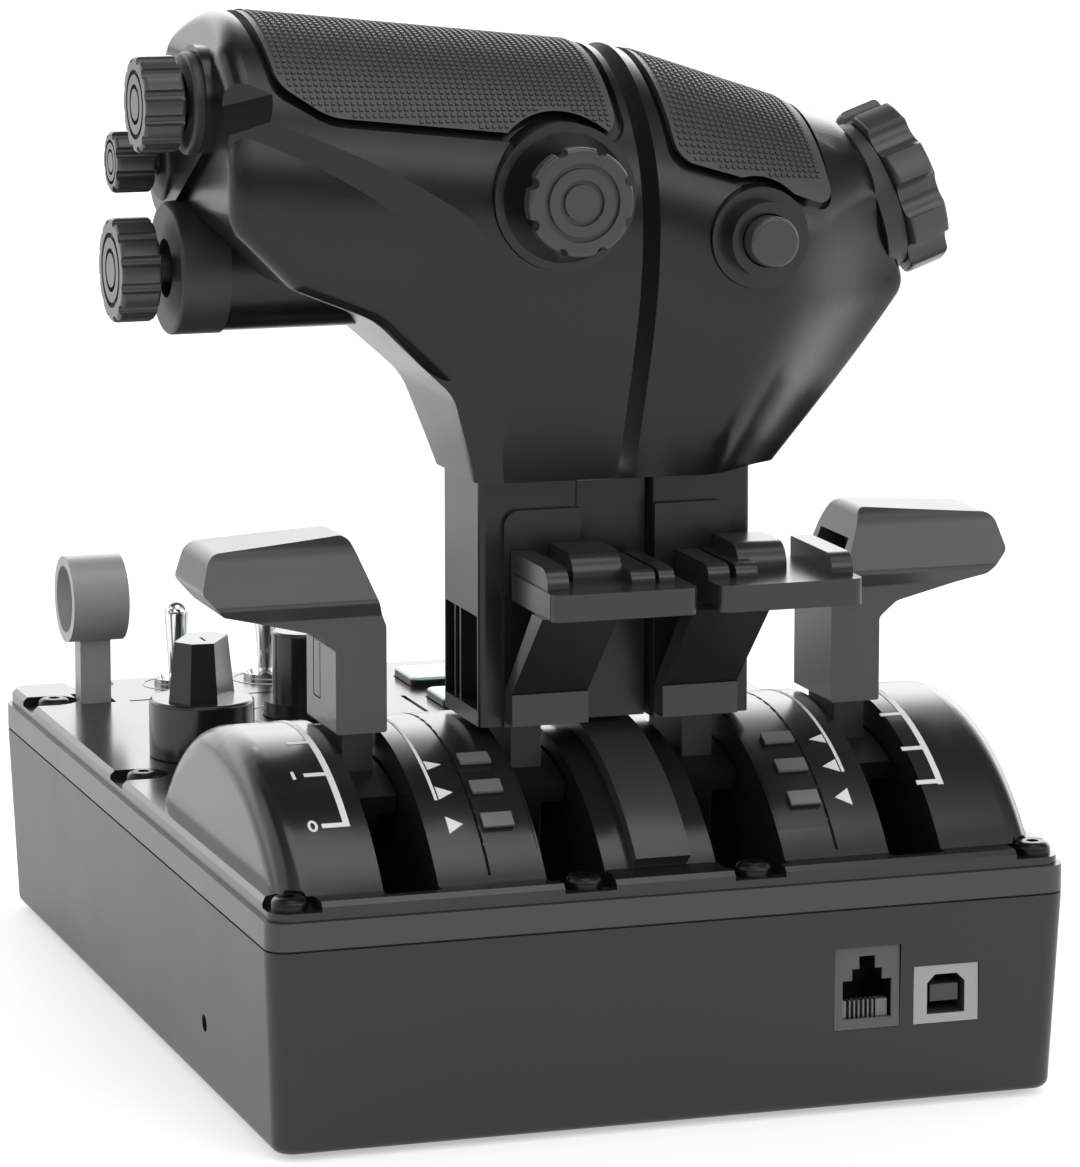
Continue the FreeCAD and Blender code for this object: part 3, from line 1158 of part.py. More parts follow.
def make_outer_handle(side):
    """The column cover of an outer lever and the wing that its finger bar makes, with its open inner end."""
    half = OUTER_COLUMN_WIDTH / 2
    bottom = ARCH_RADIUS + COLUMN_GAP
    wing = [(-half, bottom), (-half, 77.0, 2.0), (1.7, 94.0, 2.0), (28.7, 92.0, 3.0), (30.7, 85.0, 1.5),
            (26.7, 80.5, 1.5), (8.5, 76.0, 3.0), (half, 73.0, 1.5), (half, bottom)]
    front = AXIS_Y - OUTER_COLUMN_FRONT
    back = AXIS_Y + OUTER_COLUMN_BACK

    def across(y):
        return lambda u, h: Vector(side * (OUTER_X + u), y, AXIS_Z + h)

    body = rounded_profile(wing, 0.5, across(front - 3.0)).extrude(Vector(0, back - front + 3.0, 0))
    section = [(front, bottom - 1), (front, 79.0, 1.0), (front - 2.2, 82.0, 1.2), (front + 2.4, 94.6, HANDLE_TOP_RADIUS),
               (back - 1.0, 94.6, HANDLE_TOP_RADIUS), (back, 82.0, 4.0), (back, bottom - 1)]
    reach = 2 * OUTER_X
    cross = rounded_profile(section, 0.5, lambda y, h: Vector(side * (OUTER_X - reach), y, AXIS_Z + h))
    body = body.common(cross.extrude(Vector(side * 2 * reach, 0, 0)))
    hollow = [(-12.0, 80.0), (-12.0, 88.6), (20.0, 87.6), (23.0, 84.5), (19.0, 82.0)]
    hollow = prism([across(front + HANDLE_WALL)(*p) for p in hollow], Vector(0, back - front - 2 * HANDLE_WALL, 0))
    body = body.cut([hollow, stem_bore(side * OUTER_X, OUTER_STEM_FRONT, OUTER_STEM_BACK, 0, AXIS_Z + OUTER_STEM_TOP)])
    low, high = front + HANDLE_WALL - 0.5, back - HANDLE_WALL + 0.5
    x = side * (OUTER_X + 3.0)
    rib = prism([Vector(x, low, AXIS_Z + 79.5), Vector(x, low + 2.0, AXIS_Z + 79.5), Vector(x, high, AXIS_Z + 89.5),
                 Vector(x, high - 2.0, AXIS_Z + 89.5)], Vector(side * 14.0, 0, 0))
    return union([body, rib])


# Pilot-side panel

def make_gear_lever_bracket():
    half = GEAR_STEM_WIDTH / 2 + RUN_GAP
    ear = 2.0
    top = SPLIT_Z - SEAM_GAP
    low = PANEL_BOARD_TOP
    base = box((GEAR_X - half - ear, GEAR_X + half + ear), (GEAR_Y - 6, GEAR_Y + 6), (low, low + 1.6))
    ears = [box((GEAR_X + start, GEAR_X + start + ear), (GEAR_Y - 3, GEAR_Y + 3), (low, top)) for start in (-half - ear, half)]
    pin = rod_x(GEAR_X - half - ear, GEAR_X + half + ear, GEAR_Y, PLATE_TOP - GEAR_PIVOT_DROP, GEAR_PIN_RADIUS)
    return union([base, *ears, pin])


def make_gear_lever():
    """A flat stem with a ring on top that a finger goes through."""
    pivot = PLATE_TOP - GEAR_PIVOT_DROP
    centre = PLATE_TOP + GEAR_RING_HEIGHT
    half = GEAR_STEM_WIDTH / 2
    ring = tube_x(GEAR_X - GEAR_RING_WIDTH / 2, GEAR_X + GEAR_RING_WIDTH / 2, GEAR_Y, centre, GEAR_RING_RADIUS, GEAR_RING_BORE)
    stem = box((GEAR_X - half, GEAR_X + half), (GEAR_Y - GEAR_STEM_DEPTH / 2, GEAR_Y + GEAR_STEM_DEPTH / 2),
               (pivot, centre - (GEAR_RING_RADIUS + GEAR_RING_BORE) / 2))
    hub = rod_x(GEAR_X - half, GEAR_X + half, GEAR_Y, pivot, GEAR_HUB_RADIUS)
    lever = union([ring, stem, hub])
    return lever.cut(rod_x(GEAR_X - GEAR_STEM_WIDTH, GEAR_X + GEAR_STEM_WIDTH, GEAR_Y, pivot, GEAR_PIN_RADIUS + SHAFT_FIT))


def toggle_pivot_z():
    return DECK_Z + 0.5


def make_toggle_bodies():
    bodies = []
    top = PLATE_TOP + 1.5
    flare = toggle_pivot_z() + 1.0
    for x in TOGGLE_XS:
        case = box((x - 6, x + 6), (TOGGLE_Y - 7, min(TOGGLE_Y + 7, PANEL_BOARD_BACK)), (PANEL_BOARD_TOP, DECK_Z))
        collar = post(x, TOGGLE_Y, DECK_Z - 1, top, TOGGLE_COLLAR_RADIUS)
        bore = post(x, TOGGLE_Y, DECK_Z - 5, top + 1, TOGGLE_BALL_RADIUS + SEAM_GAP)
        cone = Part.makeCone(TOGGLE_BALL_RADIUS + SEAM_GAP, TOGGLE_COLLAR_RADIUS - 0.6, top - flare,
                             Vector(x, TOGGLE_Y, flare), Z_AXIS)
        bodies.append(union([case, collar]).cut([bore, cone]))
    return bodies


def make_toggle(x):
    pivot = toggle_pivot_z()
    ball = Part.makeSphere(TOGGLE_BALL_RADIUS, Vector(x, TOGGLE_Y, pivot))
    bat = Part.makeCone(TOGGLE_RADIUS, TOGGLE_TIP_RADIUS, TOGGLE_LENGTH - TOGGLE_TIP_RADIUS, Vector(x, TOGGLE_Y, pivot), Z_AXIS)
    tip = Part.makeSphere(TOGGLE_TIP_RADIUS, Vector(x, TOGGLE_Y, pivot + TOGGLE_LENGTH - TOGGLE_TIP_RADIUS))
    return union([bat, ball, tip])


def make_selector_switch():
    case = post(SELECTOR_X, SELECTOR_Y, PANEL_BOARD_TOP, DECK_Z, SELECTOR_SKIRT_RADIUS - 2)
    return union([case, post(SELECTOR_X, SELECTOR_Y, DECK_Z - 1, PLATE_TOP + SELECTOR_SKIRT_HEIGHT, KNOB_SHAFT_RADIUS)])


def make_selector_knob():
    """A round skirt with a faceted pointer on it."""
    low = PLATE_TOP + SEAM_GAP
    middle = low + SELECTOR_SKIRT_HEIGHT
    top = PLATE_TOP + SELECTOR_HEIGHT
    skirt = post(SELECTOR_X, SELECTOR_Y, low, middle, SELECTOR_SKIRT_RADIUS)
    skirt = skirt.makeFillet(CAP_EDGE_RADIUS, edges_at_level(skirt, middle))

    def outline(z, scale):
        long_reach, short_reach = 9.0 * scale, 6.6 * scale
        points = [(-long_reach, 0), (-short_reach, -5.2 * scale), (short_reach, -5.2 * scale), (long_reach, 0),
                  (short_reach, 5.2 * scale), (-short_reach, 5.2 * scale)]
        turn = math.radians(SELECTOR_REST_ANGLE)
        ring = [Vector(SELECTOR_X + u * math.cos(turn) - v * math.sin(turn),
                       SELECTOR_Y + u * math.sin(turn) + v * math.cos(turn), z) for u, v in points]
        return Part.makePolygon([*ring, ring[0]])

    pointer = Part.makeLoft([outline(middle - 1, 1.0), outline(top, 0.8)], True, True)
    knob = union([skirt, pointer])
    return knob.cut(post(SELECTOR_X, SELECTOR_Y, low - 1, PLATE_TOP + SELECTOR_SKIRT_HEIGHT, KNOB_SHAFT_RADIUS + SHAFT_FIT))


def make_encoder_switch():
    case = box((ENCODER_X - 6.5, ENCODER_X + 6.5), (ENCODER_Y - 6.5, ENCODER_Y + 6.5), (PANEL_BOARD_TOP, DECK_Z))
    return union([case, post(ENCODER_X, ENCODER_Y, DECK_Z - 1, PLATE_TOP + ENCODER_HEIGHT - 4, KNOB_SHAFT_RADIUS)])


def make_encoder_knob():
    low = PLATE_TOP + SEAM_GAP
    flange = post(ENCODER_X, ENCODER_Y, low, low + 3.0, ENCODER_FLANGE_RADIUS)
    grip = post(ENCODER_X, ENCODER_Y, low, PLATE_TOP + ENCODER_HEIGHT, ENCODER_RADIUS)
    grip = grip.makeFillet(CAP_EDGE_RADIUS, edges_at_level(grip, PLATE_TOP + ENCODER_HEIGHT))
    bore = post(ENCODER_X, ENCODER_Y, low - 1, PLATE_TOP + ENCODER_HEIGHT - 4, KNOB_SHAFT_RADIUS + SHAFT_FIT)
    return union([flange, grip]).cut(bore)


def make_key(y):
    """A push button's clear cap, which stands a little above the plate."""
    cap = rounded_block(KEY_WIDTH, KEY_DEPTH, KEY_CORNER, key_bottom(), PLATE_TOP + KEY_PROUD, (KEY_X, y))
    return cap.makeFillet(CAP_EDGE_RADIUS, edges_at_level(cap, PLATE_TOP + KEY_PROUD))


def key_bottom():
    return DECK_Z - 1.4


def make_key_switches():
    top = key_bottom() - KEY_TRAVEL - SEAM_GAP
    return [box((KEY_X - 6, KEY_X + 6), (y - 6, y + 6), (PANEL_BOARD_TOP, top)) for y in KEY_YS]


NODES = {
    "lower_housing": make_lower_housing(),
    "rubber_feet": make_rubber_feet(),
    "upper_frame": make_upper_frame(),
    "top_cover": make_top_cover(),
    "cover_screws": make_cover_screws(),
    "centre_rib": make_centre_rib(),
    "detent_strip_left": make_detent_strip(-1),
    "detent_strip_right": make_detent_strip(1),
    "lever_shaft": make_lever_shaft(),
    "shaft_brackets": make_shaft_brackets(),
    "shaft_spacers": make_shaft_spacers(),
    "friction_screw": make_friction_screw(),
    "sensor_boards": make_sensor_boards(),
    "main_board": make_main_board(),
    "usb_socket": make_usb_socket(),
    "network_socket": make_network_socket(),
    "panel_board": make_panel_board(),
    "selector_switch": make_selector_switch(),
    "encoder_switch": make_encoder_switch(),
    "toggle_bodies": make_toggle_bodies(),
    "key_switches": make_key_switches(),
    "gear_lever_bracket": make_gear_lever_bracket(),
    "gear_lever": make_gear_lever(),
    "toggle_left": make_toggle(TOGGLE_XS[0]),
    "toggle_right": make_toggle(TOGGLE_XS[1]),
    "selector_knob": make_selector_knob(),
    "encoder_knob": make_encoder_knob(),
    "key_front": make_key(KEY_YS[0]),
    "key_back": make_key(KEY_YS[1]),
    "grip_left": make_left_grip(),
    "grip_right": make_right_grip(),
    "stick_bezel": make_stick_bezel(),
    "cursor_gimbal": make_gimbal(stick_pivot(), Y_AXIS),
    "cursor_stick": make_cursor_stick(),
    "hat_bases": make_hat_bases(),
    "upper_hat_gimbal": make_gimbal(hat_pivot(UPPER_HAT), X_AXIS),
    "upper_hat": make_hat(UPPER_HAT, 12),
    "middle_hat": make_hat(MIDDLE_HAT, 8),
    "lower_hat_gimbal": make_gimbal(hat_pivot(LOWER_HAT), X_AXIS),
    "lower_hat": make_hat(LOWER_HAT, 12),
    "button_bezel": make_button_bezel(),
    "round_button": make_round_button(),
    "dial_hub": make_dial_hub(),
    "end_dial": make_end_dial(),
}
for hand, side in (("left", -1), ("right", 1)):
    NODES[f"throttle_arm_{hand}"] = make_throttle_arm(side)
    NODES[f"throttle_column_{hand}"] = make_throttle_column(side)
    NODES[f"lift_guide_{hand}"] = make_lift_guide(side)
    NODES[f"finger_lift_{hand}"] = make_finger_lift(side)
    NODES[f"grip_pad_{hand}"] = make_grip_pad(side)
for lever, side in (("flaps", -1), ("speedbrake", 1)):
    NODES[f"{lever}_arm"] = make_outer_arm(side)
    NODES[f"{lever}_handle"] = make_outer_handle(side)

os.makedirs("parts", exist_ok=True)
for name, shape in NODES.items():
    if isinstance(shape, list):
        shape = Part.makeCompound(shape)
    if not shape.isValid():
        raise ValueError(f"{name} is not a valid solid")
    shape.exportStep(f"parts/{name}.step")
    print(f"{name}: {len(shape.Solids)} solids, {shape.Volume:.0f} mm3")
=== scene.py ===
import json
import math
import bmesh
import bpy
from mathutils import Matrix, Vector
from mathutils.bvhtree import BVHTree


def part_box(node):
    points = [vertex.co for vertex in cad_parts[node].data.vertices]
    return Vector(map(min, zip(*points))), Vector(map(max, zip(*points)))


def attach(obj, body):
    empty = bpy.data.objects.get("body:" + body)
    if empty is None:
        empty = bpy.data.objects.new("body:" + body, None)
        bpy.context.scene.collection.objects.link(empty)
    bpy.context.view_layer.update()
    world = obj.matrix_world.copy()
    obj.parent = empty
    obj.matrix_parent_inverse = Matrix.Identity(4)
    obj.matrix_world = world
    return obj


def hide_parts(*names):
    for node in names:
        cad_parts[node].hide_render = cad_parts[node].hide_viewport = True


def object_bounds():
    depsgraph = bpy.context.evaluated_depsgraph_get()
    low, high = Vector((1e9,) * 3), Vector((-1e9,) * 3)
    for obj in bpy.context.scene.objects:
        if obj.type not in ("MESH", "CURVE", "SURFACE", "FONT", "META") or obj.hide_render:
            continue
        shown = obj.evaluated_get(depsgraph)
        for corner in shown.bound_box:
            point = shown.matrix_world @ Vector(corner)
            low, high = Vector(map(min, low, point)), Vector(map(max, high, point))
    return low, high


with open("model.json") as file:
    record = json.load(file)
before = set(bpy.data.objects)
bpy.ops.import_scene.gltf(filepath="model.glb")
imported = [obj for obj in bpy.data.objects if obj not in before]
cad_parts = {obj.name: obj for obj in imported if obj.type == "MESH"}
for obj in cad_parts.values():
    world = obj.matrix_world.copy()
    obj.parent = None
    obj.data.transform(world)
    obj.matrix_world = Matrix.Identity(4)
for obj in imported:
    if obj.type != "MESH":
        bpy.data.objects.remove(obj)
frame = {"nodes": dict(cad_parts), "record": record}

# Looks of the throttle quadrant in the part's own frame: X across the base, -Y towards the sockets, +Z up.
# Lengths are metres, written as millimetres times MM, apart from those of the printed marks and the rubber points,
# which are millimetres until they are used.

MM = 0.001
start_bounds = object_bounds()
scene = bpy.context.scene
nodes = frame["nodes"]


# Places read from the frame

def middle(node):
    low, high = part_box(node)
    return (low + high) / 2


shaft = middle("lever_shaft")
drum_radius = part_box("top_cover")[1].z - shaft.z
PLATE_THICKNESS = 3.4 * MM
panel_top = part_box("upper_frame")[1].z + PLATE_THICKNESS
strip_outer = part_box("detent_strip_right")[1].x


# Shader parts

def new_material(name):
    mat = bpy.data.materials.new(name)
    mat.use_nodes = True
    return mat, mat.node_tree.nodes, mat.node_tree.links, mat.node_tree.nodes["Principled BSDF"]


def grey(value):
    return (value, value, value, 1)


def feed(links, socket, value):
    """Links a node's output to an input, or sets the input to a plain value."""
    if isinstance(value, bpy.types.NodeSocket):
        links.new(value, socket)
    else:
        socket.default_value = value


def calculate(tree, links, operation, *values):
    node = tree.new("ShaderNodeMath")
    node.operation = operation
    for socket, value in zip(node.inputs, values):
        feed(links, socket, value)
    return node.outputs[0]


def map_range(tree, links, source, start=0.0, end=1.0, low=0.0, high=1.0):
    """Goes from low to high, and no further, as the source goes from start to end."""
    node = tree.new("ShaderNodeMapRange")
    settings = (("From Min", start), ("From Max", end), ("To Min", low), ("To Max", high), ("Value", source))
    for socket, value in settings:
        feed(links, node.inputs[socket], value)
    return node.outputs["Result"]


def blend_colours(tree, links, share, first, second):
    node = tree.new("ShaderNodeMix")
    node.data_type = "RGBA"
    for socket, value in ((0, share), (6, first), (7, second)):
        feed(links, node.inputs[socket], value)
    return node.outputs[2]


def object_place(tree):
    return tree.new("ShaderNodeTexCoord").outputs["Object"]


def split_axes(tree, links, source):
    node = tree.new("ShaderNodeSeparateXYZ")
    links.new(source, node.inputs["Vector"])
    return node.outputs


def clouds(tree, links, scale, detail=2.0):
    """Uneven noise in the part's own space."""
    node = tree.new("ShaderNodeTexNoise")
    node.inputs["Scale"].default_value = scale
    node.inputs["Detail"].default_value = detail
    links.new(object_place(tree), node.inputs["Vector"])
    return node.outputs["Fac"]


def uneven_sheen(tree, links, bsdf, roughness, scale, spread=0.03, detail=2.0):
    sheen = map_range(tree, links, clouds(tree, links, scale, detail), low=roughness - spread,
                      high=roughness + spread)
    links.new(sheen, bsdf.inputs["Roughness"])


# Materials

# Noise scales, the larger the finer
MOULDED_CLOUDS = 60.0
KEY_CLOUDS = 150.0
POLISHED_CLOUDS = 200.0
SOCKET_CLOUDS = 400.0
GRAIN_HEIGHT = 0.1 * MM
# How far a surface turns away from view, from 0 to 1, before it counts as rim and gets the chrome's painted dark
# reflection
PAINTED_RIM_START = 0.45
PAINTED_RIM_END = 0.95
SOCKET_LIP = 0.6 * MM
SOCKET_STEP = 0.1 * MM
SOCKET_ROUGHNESS = 0.4
# Heights above the drum where the detent bars' painted highlight starts and is full
BAR_HIGHLIGHT_START = 0.4 * MM
BAR_HIGHLIGHT_END = 0.7 * MM
# How far a key's surface faces up, from 0 to 1, before it counts as its clear top
KEY_TOP_START = 0.35
KEY_TOP_END = 0.6
KEY_SHADE = 0.8
KEY_ROUGHNESS = 0.25


def plastic(name, value, roughness=0.4, grain=0.0, grain_scale=1500.0, metallic=0.0, tint=(1.0, 1.0, 1.0),
            specular=0.5):
    """A moulded or painted surface with a little uneven sheen and an optional fine grain."""
    mat, tree, links, bsdf = new_material(name)
    bsdf.inputs["Base Color"].default_value = (*[value * part for part in tint], 1)
    bsdf.inputs["Metallic"].default_value = metallic
    bsdf.inputs["Specular IOR Level"].default_value = specular
    uneven_sheen(tree, links, bsdf, roughness, MOULDED_CLOUDS, detail=3.0)
    if grain:
        bump = tree.new("ShaderNodeBump")
        bump.inputs["Strength"].default_value = grain
        bump.inputs["Distance"].default_value = GRAIN_HEIGHT
        links.new(clouds(tree, links, grain_scale), bump.inputs["Height"])
        links.new(bump.outputs["Normal"], bsdf.inputs["Normal"])
    return mat


def polished_with_painted_rims(name, value, rim, roughness=0.1):
    """Bright metal whose rims are painted dark, a painted reflection of dark surroundings."""
    mat, tree, links, bsdf = new_material(name)
    bsdf.inputs["Metallic"].default_value = 1.0
    uneven_sheen(tree, links, bsdf, roughness, POLISHED_CLOUDS)
    facing = tree.new("ShaderNodeLayerWeight")
    facing.inputs["Blend"].default_value = 0.5
    # Painted reflection: the base colour goes from value to the dark rim colour as the surface turns away from
    # view.
    painted_rim_share = map_range(tree, links, facing.outputs["Facing"], PAINTED_RIM_START, PAINTED_RIM_END)
    links.new(blend_colours(tree, links, painted_rim_share, grey(value), grey(rim)), bsdf.inputs["Base Color"])
    return mat


def socket_with_painted_shade(name, value, painted_inside_shade, depth, metallic=0.9):
    """A socket's shell, with painted shade inside it: dark and not metallic behind a depth along Y."""
    mat, tree, links, bsdf = new_material(name)
    along = split_axes(tree, links, object_place(tree))["Y"]
    # Painted shade inside the socket's opening, from the lip inwards.
    painted_shade_share = map_range(tree, links, along, depth, depth + SOCKET_STEP)
    links.new(blend_colours(tree, links, painted_shade_share, grey(value), grey(painted_inside_shade)), bsdf.inputs["Base Color"])
    links.new(map_range(tree, links, painted_shade_share, low=metallic, high=0.0), bsdf.inputs["Metallic"])
    uneven_sheen(tree, links, bsdf, SOCKET_ROUGHNESS, SOCKET_CLOUDS, spread=0.04)
    return mat


def ribbed_plastic(name, value, painted_bar_highlight, roughness=0.22):
    """The detent strips: dark, with a painted highlight that makes the bars paler where they stand above the drum.
    """
    mat, tree, links, bsdf = new_material(name)
    from_shaft = tree.new("ShaderNodeMapping")
    from_shaft.inputs["Location"].default_value = (0, -shaft.y, -shaft.z)
    from_shaft.inputs["Scale"].default_value = (0, 1, 1)
    links.new(object_place(tree), from_shaft.inputs["Vector"])
    radius = tree.new("ShaderNodeVectorMath")
    radius.operation = "LENGTH"
    links.new(from_shaft.outputs["Vector"], radius.inputs[0])
    # Painted highlight on the raised bars.
    painted_highlight_share = map_range(tree, links, radius.outputs["Value"], drum_radius + BAR_HIGHLIGHT_START, drum_radius + BAR_HIGHLIGHT_END)
    links.new(blend_colours(tree, links, painted_highlight_share, grey(value), grey(painted_bar_highlight)), bsdf.inputs["Base Color"])
    bsdf.inputs["Roughness"].default_value = roughness
    return mat


def two_shot_key(name, top, side):
    """A key moulded in two shots: a dark skirt and a tinted clear top."""
    mat, tree, links, bsdf = new_material(name)
    normal = tree.new("ShaderNodeNewGeometry").outputs["Normal"]
    upward = map_range(tree, links, split_axes(tree, links, normal)["Z"], KEY_TOP_START, KEY_TOP_END)
    shaded = (*[part * KEY_SHADE for part in top], 1)
    mottled = blend_colours(tree, links, clouds(tree, links, KEY_CLOUDS), shaded, (*top, 1))
    links.new(blend_colours(tree, links, upward, (*side, 1), mottled), bsdf.inputs["Base Color"])
    bsdf.inputs["Roughness"].default_value = KEY_ROUGHNESS
    return mat


print_white = plastic("white print", 0.8, 0.5, specular=0.2)
gap_black = plastic("gap", 0.004, 0.8, specular=0.1)
contact_grey = plastic("contact", 0.16, 0.35, metallic=0.4)
MATERIALS = {
    "housing_black": plastic("housing", 0.014, 0.36, 0.05),
    "frame_black": plastic("frame", 0.045, 0.30, 0.05),
    "cover_black": plastic("cover", 0.014, 0.20, 0.03),
    "rubber_black": plastic("rubber", 0.02, 0.8),
    "pad_rubber": plastic("pad rubber", 0.05, 0.42),
    "screw_black": plastic("screw", 0.012, 0.3, metallic=0.6),
    "rib_grey": plastic("rib", 0.045, 0.30),
    "strip_black": ribbed_plastic("strip", 0.014, 0.16),
    "steel": plastic("steel", 0.5, 0.3, metallic=1.0),
    "support_plastic": plastic("support", 0.02, 0.45),
    "board_green": plastic("board", 1.0, 0.4, tint=(0.01, 0.10, 0.045)),
    "socket_metal": socket_with_painted_shade("socket metal", 0.34, 0.05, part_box("usb_socket")[0].y + SOCKET_LIP),
    "socket_black": socket_with_painted_shade("socket plastic", 0.09, 0.003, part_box("network_socket")[0].y + SOCKET_LIP,
                                   0.0),
    "switch_black": plastic("switch", 0.02, 0.45),
    "chrome": polished_with_painted_rims("chrome", 0.72, 0.03),
    "lever_grey": plastic("lever grey", 0.33, 0.38),
    "knob_black": plastic("knob", 0.014, 0.20),
    "key_mint": two_shot_key("key cap", (0.36, 0.62, 0.48), (0.008, 0.008, 0.008)),
    "grip_black": plastic("grip", 0.006, 0.25, 0.05, 2200.0, specular=0.4),
    "bezel_black": plastic("bezel", 0.010, 0.25),
    "control_black": plastic("control", 0.045, 0.26),
    "arm_black": plastic("arm", 0.008, 0.45),
    "column_black": plastic("column", 0.010, 0.30, specular=0.4),
    "lift_black": plastic("lift", 0.025, 0.26),
    "handle_grey": plastic("handle", 0.05, 0.28),
}
slot_of = {part["node"]: part["material_slot"] for part in frame["record"]["subparts"]}
for name, obj in nodes.items():
    obj.data.materials.clear()
    obj.data.materials.append(MATERIALS[slot_of[name]])


# Pieces

def finish_piece(name, form, material, body):
    """Turns a bmesh into a piece that rides on a body."""
    bmesh.ops.recalc_face_normals(form, faces=form.faces)
    mesh = bpy.data.meshes.new(name)
    form.to_mesh(mesh)
    form.free()
    mesh.materials.append(material)
    piece = bpy.data.objects.new(name, mesh)
    scene.collection.objects.link(piece)
    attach(piece, body)
    return piece


def surface_of(node):
    """The faces of a node, to look at along a line."""
    mesh = nodes[node].data
    faces = [face.vertices for face in mesh.polygons]
    return BVHTree.FromPolygons([vert.co for vert in mesh.vertices], faces)


# Printed marks: millimetres across the drums and degrees round them, from their top towards the sockets

PRINT_SINK = 0.05 * MM
PRINT_HEIGHT = 0.1 * MM
SCALE_TOP = -40.0
OUTER_SCALE_X = 58.6
OUTER_SCALE_END = 38.0
OUTER_LINE = 1.2
LEFT_TICKS = (37.5, 23.3, 10.6)
RIGHT_TICKS = (37.2, 27.8, 15.5)
TICK_SHIFT = 2.6
TICK_LENGTH = 4.2
TICK_LINE = 1.0
ZERO_PLACE = (-65.0, 37.4)
ZERO_SIZE = (1.9, 2.7)
ONE_PLACE = (-65.3, 23.2)
ONE_SIZE = (0.6, 2.4)
FIGURE_LINE = 0.5
FIGURE_SEGMENTS = 24
INNER_SCALE_X = 40.3
INNER_SCALE_END = 33.0
INNER_LINE = 0.6
ARROWS = ((22.8, 2.8), (31.2, 3.4), (39.4, 4.0))
ARROW_SHIFT = 1.6
ARROW_WIDTH = 3.0
SEAM_SHIFT = 0.05
SEAM_LINE = 0.56
SEAM_START = -48.0
SEAM_END = 51.0
SEAM_SINK = 0.02 * MM
SEAM_HEIGHT = 0.03 * MM
TOGGLE_RING = 15.0
TOGGLE_RING_LINE = 0.35
DIAL_RING = 24.0
DIAL_RING_LINE = 0.4
BAND_STEPS = 24
# A triangle with equal sides in a circle of radius 1 is this high and this wide.
TRIANGLE_HEIGHT = 1.5
TRIANGLE_WIDTH = 1.732


def on_drum(x, angle):
    """A place on the drums: X across, Z outwards, at an angle from the top towards the sockets."""
    turn = Matrix.Rotation(math.radians(angle), 4, "X")
    out = Matrix.Translation((0, 0, drum_radius - PRINT_SINK))
    return Matrix.Translation((x * MM, shaft.y, shaft.z)) @ turn @ out


def on_panel(x, y):
    return Matrix.Translation((x, y, panel_top - PRINT_SINK))


def thicken(form, faces, place):
    """Raises flat faces by the height of a print, away from the surface that they lie on."""
    raised = bmesh.ops.extrude_face_region(form, geom=faces)["geom"]
    away = (place.to_3x3() @ Vector((0, 0, 1))).normalized() * (PRINT_SINK + PRINT_HEIGHT)
    bmesh.ops.translate(form, verts=[v for v in raised if isinstance(v, bmesh.types.BMVert)], vec=away)


def printed_bar(form, place, width, length):
    size = Matrix.Diagonal((width * MM, length * MM, 1, 1))
    verts = bmesh.ops.create_grid(form, x_segments=1, y_segments=1, size=0.5, matrix=place @ size)["verts"]
    thicken(form, list({face for vert in verts for face in vert.link_faces}), place)


def printed_triangle(form, place, width, length, point):
    """A triangle that points along X."""
    turn = Matrix.Rotation(math.radians(-90 * point), 4, "Z")
    size = Matrix.Diagonal((width * MM / TRIANGLE_HEIGHT, length * MM / TRIANGLE_WIDTH, 1, 1))
    circle = bmesh.ops.create_circle(form, cap_ends=True, radius=1, segments=3, matrix=place @ size @ turn)
    thicken(form, list({face for vert in circle["verts"] for face in vert.link_faces}), place)


def printed_ring(form, place, width, length, line, segments=48):
    """An oval line."""
    size = Matrix.Diagonal((width * MM / 2, length * MM / 2, 1, 1))
    circle = bmesh.ops.create_circle(form, cap_ends=True, radius=1, segments=segments, matrix=place @ size)
    face = circle["verts"][0].link_faces[0]
    rim = bmesh.ops.inset_region(form, faces=[face], thickness=line * MM, use_boundary=True,
                                 use_even_offset=True)["faces"]
    bmesh.ops.delete(form, geom=[face], context="FACES_ONLY")
    thicken(form, rim, place)


def drum_band(form, x, width, start, end, sink=PRINT_SINK, height=PRINT_HEIGHT):
    """A line that runs round the drums between two angles."""
    turn = Matrix.Rotation(math.radians(90 + start), 4, "X")
    out = Matrix.Rotation(math.radians(start), 4, "X") @ Vector((0, 0, drum_radius + (height - sink) / 2))
    place = Matrix.Translation(Vector((x * MM, shaft.y, shaft.z)) + out)
    size = Matrix.Diagonal((width * MM, height + sink, 1, 1))
    section = bmesh.ops.create_grid(form, x_segments=1, y_segments=1, size=0.5, matrix=place @ turn @ size)
    verts = section["verts"]
    edges = {edge for vert in verts for edge in vert.link_edges}
    faces = {face for vert in verts for face in vert.link_faces}
    bmesh.ops.spin(form, geom=[*verts, *edges, *faces], cent=(0, shaft.y, shaft.z), axis=(1, 0, 0),
                   angle=math.radians(end - start), steps=BAND_STEPS)


def make_drum_marks():
    form = bmesh.new()
    for side, ticks in ((-1, LEFT_TICKS), (1, RIGHT_TICKS)):
        x = side * OUTER_SCALE_X
        drum_band(form, x, OUTER_LINE, SCALE_TOP, OUTER_SCALE_END)
        for angle in ticks:
            printed_bar(form, on_drum(x - TICK_SHIFT, angle), TICK_LENGTH, TICK_LINE)
    printed_ring(form, on_drum(*ZERO_PLACE), *ZERO_SIZE, FIGURE_LINE, FIGURE_SEGMENTS)
    printed_bar(form, on_drum(*ONE_PLACE), *ONE_SIZE)
    for side in (-1, 1):
        x = side * INNER_SCALE_X
        drum_band(form, x, INNER_LINE, SCALE_TOP, INNER_SCALE_END)
        for angle, length in ARROWS:
            printed_triangle(form, on_drum(x - side * ARROW_SHIFT, angle), ARROW_WIDTH, length, -side)
    return finish_piece("drum_marks", form, print_white, "base")


